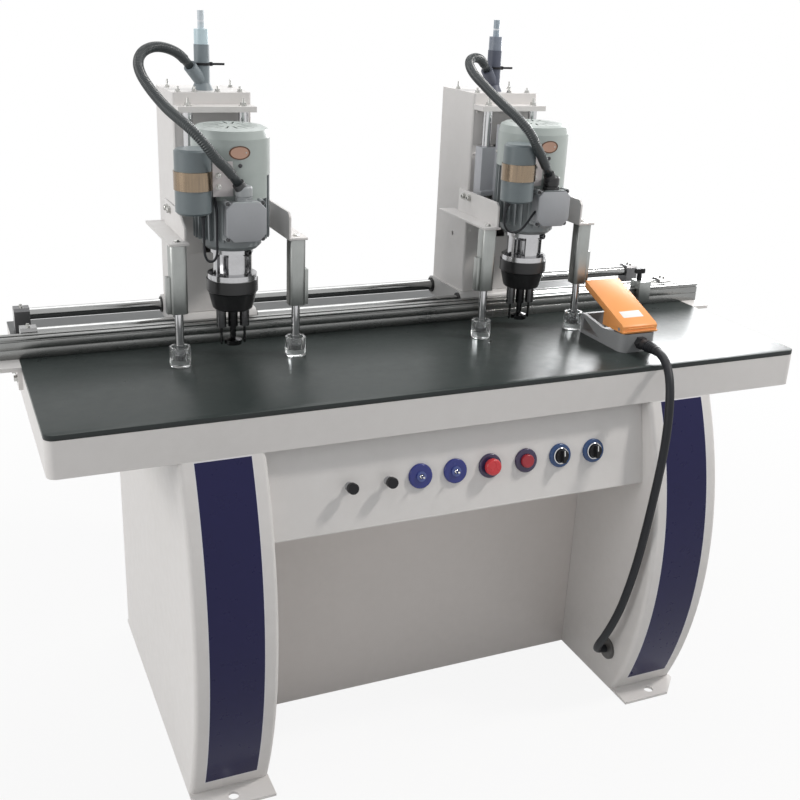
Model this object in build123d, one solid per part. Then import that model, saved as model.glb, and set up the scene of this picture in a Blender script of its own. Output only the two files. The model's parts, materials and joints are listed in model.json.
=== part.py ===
from build123d import *
import math
import os

# Two-head hinge boring machine. Millimetres, +Z up, +Y away from the operator.
# The origin is on the floor, in the middle of the four floor anchors.

# Table and its frame
TABLE_WIDTH = 1600.0
TABLE_DEPTH = 700.0
TABLE_HEIGHT = 807.0
BOARD_THICKNESS = 10.0
BOARD_BEHIND_FENCE = 1.0
BOARD_CORNER = 18.0
APRON_HEIGHT = 70.0
APRON_WALL = 6.0
BED_THICKNESS = 3.0

# Legs, floor anchors and cabinet panels
LEG_CENTRE = 500.0
LEG_WIDTH = 162.0
LEG_DEPTH = 660.0
LEG_WALL = 4.0
LEG_BULGE = 79.0
LEG_BULGE_Z = 350.0
LEG_EDGE_ROUND = 10.0
LEG_SLOT_WIDTH = 60.0
LEG_SLOT_DEPTH = 200.0
FOOT_THICKNESS = 6.0
FOOT_REACH = 58.0
FOOT_CHAMFER = 45.0
ANCHOR_REACH = 33.0
ANCHOR_RADIUS = 11.0
SHEET = 3.0
FLANGE_WIDTH = 30.0
FRONT_PANEL_SETBACK = 222.0
REAR_PANEL_INSET = 20.0
PANEL_JOINT = 0.5

# Tilted control panel
CONTROL_TILT = 12.5
CONTROL_HEIGHT = 181.0
CONTROL_LOW_Y = -12.0
CONTROL_ROW_UP = 87.0
VALVE_X = (-255.0, -174.0)
TOGGLE_X = (-106.0, -30.0)
BUTTON_X = (48.0, 131.0)
SELECTOR_X = (212.0, 293.0)

# Switches and air valves on the control panel
BEZEL_RADIUS = 25.0
BEZEL_HEIGHT = 6.0
NECK_RADIUS = 14.8
NECK_LENGTH = 12.0
CONTACT_BLOCK = 40.0
CONTACT_DEPTH = 46.0
STEM_RADIUS = 8.0
STEM_LENGTH = 20.0
MUSHROOM_RADIUS = 17.0
MUSHROOM_HEIGHT = 11.0
MUSHROOM_TRAVEL = 5.0
START_RADIUS = 14.0
START_HEIGHT = 9.0
START_TRAVEL = 4.0
SELECTOR_RADIUS = 13.5
SELECTOR_HEIGHT = 9.0
SELECTOR_GRIP = 7.0
SELECTOR_STEM = 5.0
TOGGLE_NUT = 10.0
TOGGLE_NUT_HEIGHT = 3.0
TOGGLE_BALL = 5.0
TOGGLE_LEVER = 2.6
TOGGLE_REACH = 19.0
VALVE_NUT = 9.0
VALVE_NUT_HEIGHT = 4.0
VALVE_NECK = 6.8
VALVE_STEM = 4.5
VALVE_KNOB = 11.0
VALVE_KNOB_LENGTH = 14.0
VALVE_REACH = 28.0

# Fence and its flip stop
FENCE_OVERHANG = 45.0
FENCE_SETBACK = 411.0
FENCE_DEPTH = 32.0
FENCE_HEIGHT = 43.0
T_SLOT_MOUTH = 8.0
T_SLOT_WIDTH = 16.0
T_SLOT_LIP = 4.0
T_SLOT_DEPTH = 12.0
FACE_GROOVE_HEIGHT = 4.0
FACE_GROOVE_DEPTH = 3.0
FACE_GROOVE_DROP = 4.0
FACE_JOINT_Z = 19.0
FACE_JOINT = 1.2
LUG_DROP = 46.0
LUG_THICKNESS = 8.0
LUG_REACH = 50.0
STOP_FROM_END = 171.0
STOP_WIDTH = 33.0
STOP_DEPTH = 13.0
STOP_HEIGHT = 18.0
STOP_FACE_DROP = 31.0
STOP_STUD = 4.0
WING_LENGTH = 26.0
WING_THICKNESS = 9.0
WING_HEIGHT = 9.0
WING_NECK = 6.5
WING_NECK_TOP = 5.2
WING_NECK_LENGTH = 18.0

# Guide shafts of the two carriages
SHAFT_RADIUS = 12.5
SHAFT_END_GAP = 10.0
SHAFT_ABOVE_TABLE = 33.0
FRONT_SHAFT_SETBACK = 466.0
SHAFT_SPACING = 146.0
SHAFT_BLOCK_LENGTH = 32.0
SHAFT_BLOCK_DEPTH = 36.0
SHAFT_BLOCK_ABOVE = 16.0
BUSH_RADIUS = 17.5
BUSH_LENGTH = 59.0
BUSH_PROUD = 3.0

# Heads: spindle axes on the table
HEAD_X = {"left": -390.0, "right": 276.5}
MOTOR_GAP = 1.0

# Carriage and column of a head
BASE_HALF = 86.0
BASE_RADIUS = 22.0
COLUMN_AHEAD = 6.0
COLUMN_HALF = 80.0
COLUMN_DEPTH = 161.0
COLUMN_HEIGHT = 449.5
COLUMN_WALL = 4.0
COLUMN_ROUND = 5.0
COLUMN_BAND = 25.0
COLUMN_COVER_HEIGHT = 126.0
COLUMN_HOLE_RADIUS = 5.0
COLUMN_HOLE_BEHIND = 66.0
COLUMN_HOLE_Z = 125.0

# Guide frame: two upright rods between two bars, and the feed cylinder
ROD_RADIUS = 10.0
ROD_HALF_SPACING = 56.0
ROD_AHEAD = 26.0
ROD_SEAT = 7.0
TOP_BAR_HEIGHT = 11.0
TOP_BAR_DROP = 23.0
TOP_BAR_HALF = 79.0
BAR_DEPTH = 44.0
LOWER_BAR_HALF = 98.0
LOWER_BAR_HEIGHT = 36.0
LOWER_BAR_ABOVE_BASE = 179.0
FEED_RADIUS = 25.0
FEED_BORE = 20.0
FEED_BEHIND = 66.0
FEED_LENGTH = 122.0
FEED_CAP = 12.0
FEED_ROD = 8.0
FEED_PISTON_HEIGHT = 12.0
FEED_DOWN = 15.0

# Slide that carries the motor
SLIDE_HALF = 43.0
SLIDE_THICKNESS = 10.0
SLIDE_GAP = 2.0
SLIDE_SEAT = 3.0
STRIP_THICKNESS = 6.0
STRIP_HEIGHT = 10.5
BLOCK_WIDTH = 38.0
BLOCK_HEIGHT = 105.0
BLOCK_DEPTH = 32.0
SLIDE_BELOW_BLOCK = 25.0
SLIDE_ABOVE_BLOCK = 50.0
LUG_HALF = 18.0
FEED_LUG_HEIGHT = 18.0

# Spindle stack, from the table upwards
TIP_GAP = 22.5
CUTTER_RADIUS = 17.5
CUTTER_HEIGHT = 13.0
CUTTER_CORE = 4.0
CUTTER_POINT = 3.0
CUTTER_SHOULDER = 4.0
CUTTER_GASH = 8.75
CUTTER_STEM = 6.0
CUTTER_STEM_LENGTH = 24.0
BIT_SPACING = 24.0
BIT_RADIUS = 2.5
SLEEVE_RADIUS = 9.8
SLEEVE_LENGTH = 39.0
SPINDLE_RADIUS = 6.0
GEAR_TEETH = 24
GEAR_HEIGHT = 14.0
GEAR_ADDENDUM = 0.8
GEAR_DEDENDUM = 1.4
GEARBOX_HEIGHT = 62.0
GEARBOX_TOP_RADIUS = 51.0
GEARBOX_STEP_RADIUS = 48.0
GEARBOX_LOW_RADIUS = 40.0
GEARBOX_STEP = 27.0
GEARBOX_FLOOR = 13.0
GEARBOX_CAVITY = 14.5
JOURNAL_DEPTH = 8.0
ADAPTER_HEIGHT = 64.0
ADAPTER_RADIUS = 38.0
ADAPTER_BORE = 28.0
ADAPTER_FLANGE_RADIUS = 49.0
ADAPTER_FLANGE_HEIGHT = 11.0
ADAPTER_HEAD_RADIUS = 42.0
ADAPTER_HEAD_HEIGHT = 10.0
ADAPTER_WINDOW = 26.0
COUPLING_RADIUS = 18.0
COUPLING_HEIGHT = 30.0

# Motor
MOTOR_SHAFT = 7.0
SHIELD_RADIUS = 58.0
SHIELD_HEIGHT = 22.0
SHIELD_EDGE = 8.0
MOTOR_CORE = 64.0
MOTOR_RADIUS = 74.0
MOTOR_HEIGHT = 129.0
RIB_COUNT = 32
RIB_WIDTH = 3.2
RIM_HEIGHT = 7.0
MOTOR_PAD_HALF = 40.0
MOTOR_PAD_INSET = 16.0
FAN_COVER_RADIUS = 75.0
FAN_COVER_HEIGHT = 82.0
FAN_COVER_WALL = 2.0
FAN_COVER_DOME = 19.0
FAN_COVER_TOP = 62.0
FAN_COVER_SLOTS = 16
FAN_SLOT_X = (22.0, 52.0)
FAN_RADIUS = 60.0
FAN_HEIGHT = 26.0
FAN_BLADES = 8

# Terminal box and capacitor on the motor
BOX_HALF = 35.0
BOX_DEPTH = 34.0
BOX_PAD = 2.0
BOX_ROUND = 6.0
LID_HALF = 38.0
LID_THICKNESS = 7.0
LID_CORNER = 14.0
BOX_ABOVE_MOTOR = 12.0
SADDLE_X = (-46.0, 58.0)
GLAND_RADIUS = 13.5
GLAND_HEIGHT = 18.0
GLAND_NOZZLE = 12.0
GLAND_NOZZLE_LENGTH = 22.0
CAN_RADIUS = 34.0
# Place of each can, as offset in x and distance ahead of the spindle
CAN_PLACE = {"left": (-90.5, 72.0), "right": (-78.0, 84.0)}
CAN_HEIGHT = 119.0
CAN_EDGE = 4.0
CAN_ABOVE_MOTOR = 60.0
BAND_HEIGHT = 34.0
BAND_THICKNESS = 2.0
BAND_ABOVE_CAN = 45.0
CLAMP_PLATE = 5.0
CLAMP_PLATE_HEIGHT = 64.0
CLAMP_PLATE_END = -16.0

# Hold-down cylinders
CLAMP_X = 118.7
CLAMP_AHEAD = 43.5
CLAMP_BODY = 33.0
CLAMP_BODY_ROUND = 9.0
CLAMP_BODY_HEIGHT = 134.0
CLAMP_BODY_Z = 109.0
CLAMP_BORE = 12.0
CLAMP_GLAND = 15.0
CLAMP_HEAD = 8.0
CLAMP_ROD = 8.5
CLAMP_PISTON_HEIGHT = 12.0
PORT_WIDTH = 7.0
PORT_HEIGHT = 72.0
FOOT_RADIUS = 21.5
FOOT_HEIGHT = 40.0
FOOT_FLOOR = 14.0
FOOT_WALL = 5.0
WEB_THICKNESS = 5.0
WEB_HEIGHT = 55.0
SHELF_OUT = 137.0
SHELF_AHEAD = 20.0
SHELF_BEHIND = 30.0
# How far each web stays behind its shelf's front, and its upper corner's cut back and down;
# the left capacitor needs the most room when its head feeds down
WEB_SETBACK = {"left": {"near": 24.0, "far": 1.5}, "right": {"near": 9.5, "far": 1.5}}
WEB_CUT = {"left": {"near": (52.0, 26.0), "far": (9.0, 9.0)}, "right": {"near": (9.0, 9.0), "far": (9.0, 9.0)}}

# Hose post on the column and the motor hose
POST_X = -6.0
POST_BEHIND = 55.0
BOOT_RADIUS = 15.5
BOOT_FOOT_RADIUS = 22.0
BOOT_FOOT_HEIGHT = 14.0
BOOT_HEIGHT = 88.0
COLLAR_RADIUS = 14.5
COLLAR_HEIGHT = 29.0
NIPPLE_RADIUS = 6.8
NIPPLE_HEIGHT = 35.0
BRANCH_RADIUS = 13.0
BRANCH_UP = 14.0
BRANCH_LENGTH = 50.0
BRANCH_WAY = Vector(-0.594, -0.446, 0.668).normalized()
GLAND_WAY = Vector(-0.557, -0.249, 0.792).normalized()
HOSE_RADIUS = 10.0
HOSE_VALLEY = 8.8
HOSE_BORE = 6.5
HOSE_PITCH = 4.2
# Free points of each hose, as offset in x and y from the spindle and height above the table
HOSE_ROUTE = {
    "left": [(-57, -118, 411), (-80, -123, 441), (-101, -105, 466), (-117, -72, 481), (-129, -39, 494),
             (-146, 10, 521), (-156, 52, 547), (-154, 79, 567), (-139, 102, 583), (-112, 121, 591),
             (-81, 135, 586)],
    "right": [(-62, -127, 421), (-80, -127, 449), (-93, -115, 468), (-103, -93, 484), (-113, -63, 500),
              (-121, -30, 517), (-126, 8, 535), (-128, 45, 550), (-125, 76, 565), (-111, 104, 577),
              (-84, 127, 581)],
}

# Foot pedal on the table and its cable
PEDAL_X = 444.0
PEDAL_HALF = 44.0
PEDAL_SETBACK = 93.0
PEDAL_LENGTH = 162.0
PEDAL_BOX_LENGTH = 80.0
PEDAL_BOX_HEIGHT = 43.0
PEDAL_PLATE = 4.0
PEDAL_RAIL = 8.0
PEDAL_RAIL_HEIGHT = 45.0
PEDAL_TILT = 6.0
PEDAL_EAR = 8.0
PEDAL_PIN = 4.0
PEDAL_PIN_SETBACK = 18.0
PEDAL_PIN_ABOVE = 6.0
TREADLE_FRONT_HEIGHT = 18.0
TREADLE_RISE = 59.0
TREADLE_WALL = 4.0
TREADLE_INSET = 4.0
TREADLE_TAIL = 16.0
CABLE_RADIUS = 9.0
CABLE_GLAND_RADIUS = 14.0
CABLE_GLAND_LENGTH = 28.0
CABLE_GLAND_Z = 22.0
GROMMET_RADIUS = 26.0
GROMMET_PROUD = 8.0
GROMMET_SETBACK = 33.0
GROMMET_Z = 97.0
# Free points of the pedal cable, as x, table setback and height above the table
CABLE_ROUTE = [(443, 36, 23), (438, 4, 21), (429, -28, 11), (417, -58, -12), (408, -78, -50), (403, -88, -99),
               (400, -91, -152), (398, -88, -209), (398, -81, -269), (398, -73, -329), (398, -64, -389),
               (397, -54, -449), (394, -43, -507), (390, -31, -561), (385, -17, -607), (381, -1, -647),
               (378, 16, -681)]

# Clearances
RUN_FIT = 0.06
SLIP_FIT = 0.02
AIR_GAP = 0.3

# Levels and setbacks worked out from the sizes above
FRONT_Y = -LEG_DEPTH / 2
BOARD_DEPTH = FENCE_SETBACK + FENCE_DEPTH + BOARD_BEHIND_FENCE
FRAME_TOP = TABLE_HEIGHT - BOARD_THICKNESS
FRAME_LOW = FRAME_TOP - APRON_HEIGHT
BED_TOP = FRAME_TOP + BED_THICKNESS
FENCE_Y = FRONT_Y + FENCE_SETBACK
FENCE_LENGTH = TABLE_WIDTH + 2 * FENCE_OVERHANG
STOP_X = FENCE_LENGTH / 2 - STOP_FROM_END
FENCE_TOP = TABLE_HEIGHT + FENCE_HEIGHT
SLOT_Y = FENCE_Y + FENCE_DEPTH / 2
SHAFT_Z = TABLE_HEIGHT + SHAFT_ABOVE_TABLE
FRONT_SHAFT_Y = FRONT_Y + FRONT_SHAFT_SETBACK
REAR_SHAFT_Y = FRONT_SHAFT_Y + SHAFT_SPACING
SHAFT_HALF = TABLE_WIDTH / 2 - SHAFT_END_GAP
LEG_IN = LEG_CENTRE - LEG_WIDTH / 2
LEG_OUT = LEG_CENTRE + LEG_WIDTH / 2

TIP_Z = TABLE_HEIGHT + TIP_GAP
CUTTER_TOP = TIP_Z + CUTTER_HEIGHT
SLEEVE_LOW = CUTTER_TOP + CUTTER_STEM_LENGTH
GEARBOX_LOW = SLEEVE_LOW + SLEEVE_LENGTH
GEARBOX_TOP = GEARBOX_LOW + GEARBOX_HEIGHT
ADAPTER_TOP = GEARBOX_TOP + ADAPTER_HEIGHT
MOTOR_LOW = ADAPTER_TOP + SHIELD_HEIGHT
MOTOR_TOP = MOTOR_LOW + MOTOR_HEIGHT
COVER_TOP = MOTOR_TOP + FAN_COVER_HEIGHT

COLUMN_Y = FRONT_SHAFT_Y - COLUMN_AHEAD
COLUMN_LOW = SHAFT_Z + BASE_RADIUS
COLUMN_TOP = COLUMN_LOW + COLUMN_HEIGHT
TOP_BAR_LOW = COLUMN_TOP - TOP_BAR_DROP - TOP_BAR_HEIGHT
LOWER_BAR_LOW = COLUMN_LOW + LOWER_BAR_ABOVE_BASE
LOWER_BAR_TOP = LOWER_BAR_LOW + LOWER_BAR_HEIGHT
BLOCK_LOW = LOWER_BAR_TOP + SLIDE_SEAT + FEED_DOWN
BLOCK_TOP = BLOCK_LOW + BLOCK_HEIGHT
BAR_Y = COLUMN_Y - BAR_DEPTH
ROD_Y = COLUMN_Y - ROD_AHEAD
SLIDE_Y = BAR_Y - SLIDE_GAP
SPINDLE_Y = SLIDE_Y - SLIDE_THICKNESS - MOTOR_GAP - FAN_COVER_RADIUS
FEED_Y = COLUMN_Y + FEED_BEHIND
POST_Y = COLUMN_Y + POST_BEHIND
FEED_TOP = COLUMN_TOP - COLUMN_WALL
FEED_LOW = FEED_TOP - FEED_LENGTH

CLAMP_Y = SPINDLE_Y - CLAMP_AHEAD
CLAMP_LOW = TABLE_HEIGHT + CLAMP_BODY_Z
CLAMP_TOP = CLAMP_LOW + CLAMP_BODY_HEIGHT

CONTROL_LOW_Z = FRAME_LOW - CONTROL_HEIGHT
CONTROL_WAY = Vector(0, -math.cos(math.radians(CONTROL_TILT)), math.sin(math.radians(CONTROL_TILT)))
CONTROL_EDGE = Plane((0, FRONT_Y + CONTROL_LOW_Y, CONTROL_LOW_Z), x_dir=(1, 0, 0), z_dir=CONTROL_WAY)
CONTROL_ROW = CONTROL_EDGE * Pos(0, CONTROL_ROW_UP, 0)


def block(x, y, z):
    """A box between two x, two y and two z values."""
    spans = (x, y, z)
    middle = [(low + high) / 2 for low, high in spans]
    return Pos(*middle) * Box(*[high - low for low, high in spans])


def post(x, y, z, radius):
    """An upright round bar between two heights."""
    return Pos(x, y, (z[0] + z[1]) / 2) * Cylinder(radius, z[1] - z[0])


def bar_x(x, y, z, radius):
    """A round bar along X between two x values."""
    return Pos((x[0] + x[1]) / 2, y, z) * Rot(0, 90, 0) * Cylinder(radius, x[1] - x[0])


def bar_y(x, y, z, radius):
    """A round bar along Y between two y values."""
    return Pos(x, (y[0] + y[1]) / 2, z) * Rot(90, 0, 0) * Cylinder(radius, y[1] - y[0])


def turned(x, y, profile):
    """A turned piece on an upright axis, from its half outline of radius and height."""
    outline = Polyline([(radius, 0, z) for radius, z in profile], close=True)
    return Pos(x, y, 0) * revolve(make_face(outline), Axis.Z)


def plate_yz(x, outline):
    """A plate of a Y and Z outline between two x values."""
    face = make_face(Polyline([(x[0], y, z) for y, z in outline], close=True))
    return extrude(face, amount=x[1] - x[0], dir=(1, 0, 0))


def spoke(start, way, length, radius):
    """A round bar from a point along a direction."""
    return Plane(start, z_dir=way) * Pos(0, 0, length / 2) * Cylinder(radius, length)


def save(node, *pieces):
    """Write one node, a single solid or a group of separate solids."""
    solids = [solid for piece in pieces for solid in piece.solids()]
    export_step(solids[0] if len(solids) == 1 else Compound(children=solids), f"parts/{node}.step")


# Routes of hoses and cables
def route_path(name, points):
    """A path of straight runs and tangent arcs, each arc as large as its two runs allow."""
    points = [Vector(*point) for point in points]
    radii = []
    for before, here, after in zip(points, points[1:], points[2:]):
        turn = math.radians((here - before).get_angle(after - here))
        shorter = min((here - before).length, (after - here).length)
        radii.append(0.45 * shorter / math.tan(turn / 2))
    path = FilletPolyline(*points, radius=radii)
    print(name, "length", round(path.length, 1), "radii", [round(radius) for radius in radii])
    return path


def round_tube(path, radius):
    """A round solid along a path."""
    return sweep(Plane(path @ 0, z_dir=path % 0) * Circle(radius), path=path)


def ribbed_hose(name, points):
    """A corrugated hose with its bore and a plain cuff of one diameter at each end."""
    path = route_path(name, points)
    cuff = 2 * HOSE_RADIUS
    count = int((path.length - 2 * cuff) / HOSE_PITCH)
    pitch = (path.length - 2 * cuff) / count
    stations = [(0, HOSE_VALLEY), (cuff, HOSE_VALLEY)]
    for rib in range(count):
        start = cuff + rib * pitch
        stations.append((start + 0.20 * pitch, HOSE_VALLEY))
        stations.append((start + 0.40 * pitch, HOSE_RADIUS))
        stations.append((start + 0.75 * pitch, HOSE_RADIUS))
        stations.append((start + 0.95 * pitch, HOSE_VALLEY))
    stations.append((path.length - cuff, HOSE_VALLEY))
    stations.append((path.length, HOSE_VALLEY))
    rings = []
    for distance, radius in stations:
        centre = path.position_at(distance, position_mode=PositionMode.LENGTH)
        tangent = path.tangent_at(distance, position_mode=PositionMode.LENGTH)
        rings.append(Plane(centre, x_dir=(1, 0, 0), z_dir=tangent) * Circle(radius))
    hose = loft(rings, ruled=True) - round_tube(path, HOSE_BORE)
    mean = (HOSE_RADIUS + HOSE_VALLEY) / 2
    expected = math.pi * (mean ** 2 - HOSE_BORE ** 2) * path.length
    print(name, "ribs", count, "volume against a smooth hose", round(hose.volume / expected, 3))
    return hose


# Cabinet and table
def leg(sign):
    """A closed sheet leg with a bulging front, welded foot plates and floor anchors."""
    low_front = (0, FRONT_Y, 0)
    top_front = (0, FRONT_Y, FRAME_LOW)
    top_back = (0, FRONT_Y + LEG_DEPTH, FRAME_LOW)
    low_back = (0, FRONT_Y + LEG_DEPTH, 0)
    front = ThreePointArc(low_front, (0, FRONT_Y - LEG_BULGE, LEG_BULGE_Z), top_front)
    side = make_face(front + Polyline([top_front, top_back, low_back, low_front]))
    outer = Pos(-LEG_WIDTH / 2, 0, 0) * extrude(side, amount=LEG_WIDTH, dir=(1, 0, 0))
    front_edges = outer.edges().filter_by(GeomType.CIRCLE)
    outer = fillet(front_edges, LEG_EDGE_ROUND)
    inner_width = LEG_WIDTH - 2 * LEG_WALL
    inner_side = offset(side, amount=-LEG_WALL, kind=Kind.INTERSECTION)
    outer -= Pos(-inner_width / 2, 0, 0) * extrude(inner_side, amount=inner_width, dir=(1, 0, 0))
    slot_y = (FRONT_Y + LEG_DEPTH - LEG_SLOT_DEPTH, FRONT_Y + LEG_DEPTH - 2 * LEG_WALL)
    half = LEG_SLOT_WIDTH / 2
    outer -= block((-half, half), slot_y, (FRAME_LOW - 2 * LEG_WALL, FRAME_LOW + LEG_WALL))
    for edge_y, way in ((FRONT_Y, -1), (FRONT_Y + LEG_DEPTH, 1)):
        corners = [(-LEG_WIDTH / 2, -LEG_WALL), (-LEG_WIDTH / 2, FOOT_REACH),
                   (LEG_WIDTH / 2 - FOOT_CHAMFER, FOOT_REACH),
                   (LEG_WIDTH / 2, FOOT_REACH - FOOT_CHAMFER), (LEG_WIDTH / 2, -LEG_WALL)]
        outline = Polyline([(sign * x, edge_y + way * y, 0) for x, y in corners], close=True)
        plate = extrude(make_face(outline), amount=FOOT_THICKNESS, dir=(0, 0, 1))
        plate -= post(0, edge_y + way * ANCHOR_REACH, (-1, FOOT_THICKNESS + 1), ANCHOR_RADIUS)
        outer += plate
    return Pos(sign * LEG_CENTRE, 0, 0) * outer


def grommet():
    """The rubber bush in the right leg where the pedal cable goes in."""
    centre = (FRONT_Y + GROMMET_SETBACK, GROMMET_Z)
    bush = bar_x((LEG_IN - GROMMET_PROUD, LEG_IN), *centre, GROMMET_RADIUS)
    bush = fillet(bush.edges().group_by(Axis.X)[0], GROMMET_PROUD / 2)
    bush += bar_x((LEG_IN, LEG_IN + LEG_WALL), *centre, GROMMET_RADIUS - GROMMET_PROUD / 2)
    return bush - bar_x((LEG_IN - 2 * GROMMET_PROUD, LEG_OUT), *centre, CABLE_RADIUS + SLIP_FIT)


def legs():
    hole_x = (LEG_IN - LEG_WALL, LEG_IN + 2 * LEG_WALL)
    hole_radius = GROMMET_RADIUS - GROMMET_PROUD / 2
    hole = bar_x(hole_x, FRONT_Y + GROMMET_SETBACK, GROMMET_Z, hole_radius)
    save("left_leg", leg(-1))
    save("right_leg", leg(1) - hole, grommet())


def cabinet_panel(setback, low, high):
    """A sheet between the legs, with its side flanges folded back."""
    half = LEG_IN - PANEL_JOINT
    y = FRONT_Y + setback
    sheet = block((-half, half), (y, y + SHEET), (low, high))
    for x in ((-half, -half + SHEET), (half - SHEET, half)):
        sheet += block(x, (y, y + FLANGE_WIDTH), (low, high))
    return sheet


def cabinet():
    save("cabinet_panels",
         cabinet_panel(FRONT_PANEL_SETBACK, 0, CONTROL_LOW_Z),
         cabinet_panel(LEG_DEPTH - REAR_PANEL_INSET - FLANGE_WIDTH, 0, FRAME_LOW))


def control_panel():
    """A bent sheet: the tilted face and the return below it to the front panel."""
    half = LEG_IN - PANEL_JOINT
    face_height = (FRAME_LOW - CONTROL_LOW_Z) / math.cos(math.radians(CONTROL_TILT))
    sheet = CONTROL_EDGE * block((-half, half), (0, face_height - SHEET), (-SHEET, 0))
    low_y = FRONT_Y + CONTROL_LOW_Y
    return_y = (low_y, FRONT_Y + FRONT_PANEL_SETBACK + FLANGE_WIDTH)
    sheet += block((-half, half), return_y, (CONTROL_LOW_Z, CONTROL_LOW_Z + SHEET))
    for x in TOGGLE_X + BUTTON_X + SELECTOR_X:
        sheet -= CONTROL_ROW * Pos(x, 0, 0) * Cylinder(NECK_RADIUS + AIR_GAP, 4 * SHEET)
    for x in VALVE_X:
        sheet -= CONTROL_ROW * Pos(x, 0, 0) * Cylinder(VALVE_NECK + AIR_GAP, 4 * SHEET)
    save("control_panel", sheet)


def table_frame():
    """Welded apron ring with ribs over the leg walls, the rail bed behind and the fence lugs at the ends."""
    half = TABLE_WIDTH / 2
    span_y = (FRONT_Y, FRONT_Y + TABLE_DEPTH)
    frame = block((-half, half), span_y, (FRAME_LOW, FRAME_TOP))
    inner_y = (span_y[0] + APRON_WALL, span_y[1] - APRON_WALL)
    frame -= block((-half + APRON_WALL, half - APRON_WALL), inner_y, (FRAME_LOW - 1, FRAME_TOP + 1))
    frame = fillet(frame.edges().filter_by(Axis.Z).group_by(Axis.Y)[0], BOARD_CORNER)
    for sign in (-1, 1):
        for rib in (LEG_IN, LEG_OUT - APRON_WALL):
            x = sorted((sign * rib, sign * (rib + APRON_WALL)))
            frame += block(x, inner_y, (FRAME_LOW, FRAME_TOP))
    frame += block((-half, half), (FRONT_Y + BOARD_DEPTH, span_y[1]), (FRAME_TOP, BED_TOP))
    lugs = []
    lug_y = (FENCE_Y - LUG_REACH, FENCE_Y + FENCE_DEPTH)
    for sign in (-1, 1):
        x = sorted((sign * half, sign * FENCE_LENGTH / 2))
        lug = block(x, lug_y, (TABLE_HEIGHT - LUG_THICKNESS, TABLE_HEIGHT))
        side = sorted((sign * half, sign * (half + LUG_THICKNESS)))
        lug += block(side, lug_y, (TABLE_HEIGHT - LUG_DROP, TABLE_HEIGHT))
        lugs.append(lug)
    save("table_frame", frame, *lugs)


def table_top():
    half = TABLE_WIDTH / 2
    board = block((-half, half), (FRONT_Y, FRONT_Y + BOARD_DEPTH - AIR_GAP), (FRAME_TOP, TABLE_HEIGHT))
    corners = board.edges().filter_by(Axis.Z).group_by(Axis.Y)[0]
    save("table_top", fillet(corners, BOARD_CORNER))


# Fence and guide shafts
def fence():
    half = FENCE_LENGTH / 2
    across = (-half - 1, half + 1)
    rail = block((-half, half), (FENCE_Y, FENCE_Y + FENCE_DEPTH), (TABLE_HEIGHT, FENCE_TOP))
    mouth = T_SLOT_MOUTH / 2
    rail -= block(across, (SLOT_Y - mouth, SLOT_Y + mouth), (FENCE_TOP - T_SLOT_DEPTH, FENCE_TOP + 1))
    wide = T_SLOT_WIDTH / 2
    rail -= block(across, (SLOT_Y - wide, SLOT_Y + wide), (FENCE_TOP - T_SLOT_DEPTH, FENCE_TOP - T_SLOT_LIP))
    groove_top = FENCE_TOP - FACE_GROOVE_DROP
    groove_y = (FENCE_Y - 1, FENCE_Y + FACE_GROOVE_DEPTH)
    rail -= block(across, groove_y, (groove_top - FACE_GROOVE_HEIGHT, groove_top))
    joint_z = TABLE_HEIGHT + FACE_JOINT_Z
    rail -= block(across, (FENCE_Y - 1, FENCE_Y + FACE_JOINT), (joint_z, joint_z + FACE_JOINT))
    save("fence_rail", rail)


def fence_stop():
    """A stop that hangs over the fence face, runs in its slot and is held by a wing knob."""
    x = (STOP_X - STOP_WIDTH / 2, STOP_X + STOP_WIDTH / 2)
    low = FENCE_TOP + AIR_GAP
    top = low + STOP_HEIGHT
    body = block(x, (FENCE_Y - STOP_DEPTH, FENCE_Y + FENCE_DEPTH - STOP_DEPTH / 2), (low, top))
    body += block(x, (FENCE_Y - STOP_DEPTH, FENCE_Y - AIR_GAP), (FENCE_TOP - STOP_FACE_DROP, low))
    tongue = T_SLOT_MOUTH / 2 - AIR_GAP
    body += block(x, (SLOT_Y - tongue, SLOT_Y + tongue), (FENCE_TOP - T_SLOT_LIP, low))
    body -= post(STOP_X, SLOT_Y, (low - STOP_HEIGHT, top + 1), STOP_STUD + RUN_FIT)
    save("fence_stop", body)
    neck_top = top + AIR_GAP + WING_NECK_LENGTH
    knob = post(STOP_X, SLOT_Y, (FENCE_TOP - T_SLOT_LIP, neck_top), STOP_STUD)
    neck = [(0, top + AIR_GAP), (WING_NECK, top + AIR_GAP), (WING_NECK_TOP, neck_top), (0, neck_top)]
    knob += turned(STOP_X, SLOT_Y, neck)
    wing = block((STOP_X - WING_LENGTH / 2, STOP_X + WING_LENGTH / 2),
                 (SLOT_Y - WING_THICKNESS / 2, SLOT_Y + WING_THICKNESS / 2),
                 (neck_top - WING_HEIGHT / 3, neck_top + WING_HEIGHT))
    knob += fillet(wing.edges().filter_by(Axis.Y), WING_HEIGHT / 3)
    save("stop_knob", knob)


def guide_shafts():
    """Two long shafts and the block that clamps each end to the bed."""
    pieces = []
    for y in (FRONT_SHAFT_Y, REAR_SHAFT_Y):
        pieces.append(bar_x((-SHAFT_HALF, SHAFT_HALF), y, SHAFT_Z, SHAFT_RADIUS))
        for sign in (-1, 1):
            x = sorted((sign * SHAFT_HALF, sign * (SHAFT_HALF - SHAFT_BLOCK_LENGTH)))
            depth = SHAFT_BLOCK_DEPTH / 2
            support = block(x, (y - depth, y + depth), (BED_TOP, SHAFT_Z + SHAFT_BLOCK_ABOVE))
            support = chamfer(support.edges().filter_by(Axis.X).group_by(Axis.Z)[-1], depth / 3)
            support -= bar_x((-SHAFT_HALF - 1, SHAFT_HALF + 1), y, SHAFT_Z, SHAFT_RADIUS + SLIP_FIT)
            pieces.append(support)
    save("guide_shafts", *pieces)


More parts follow.
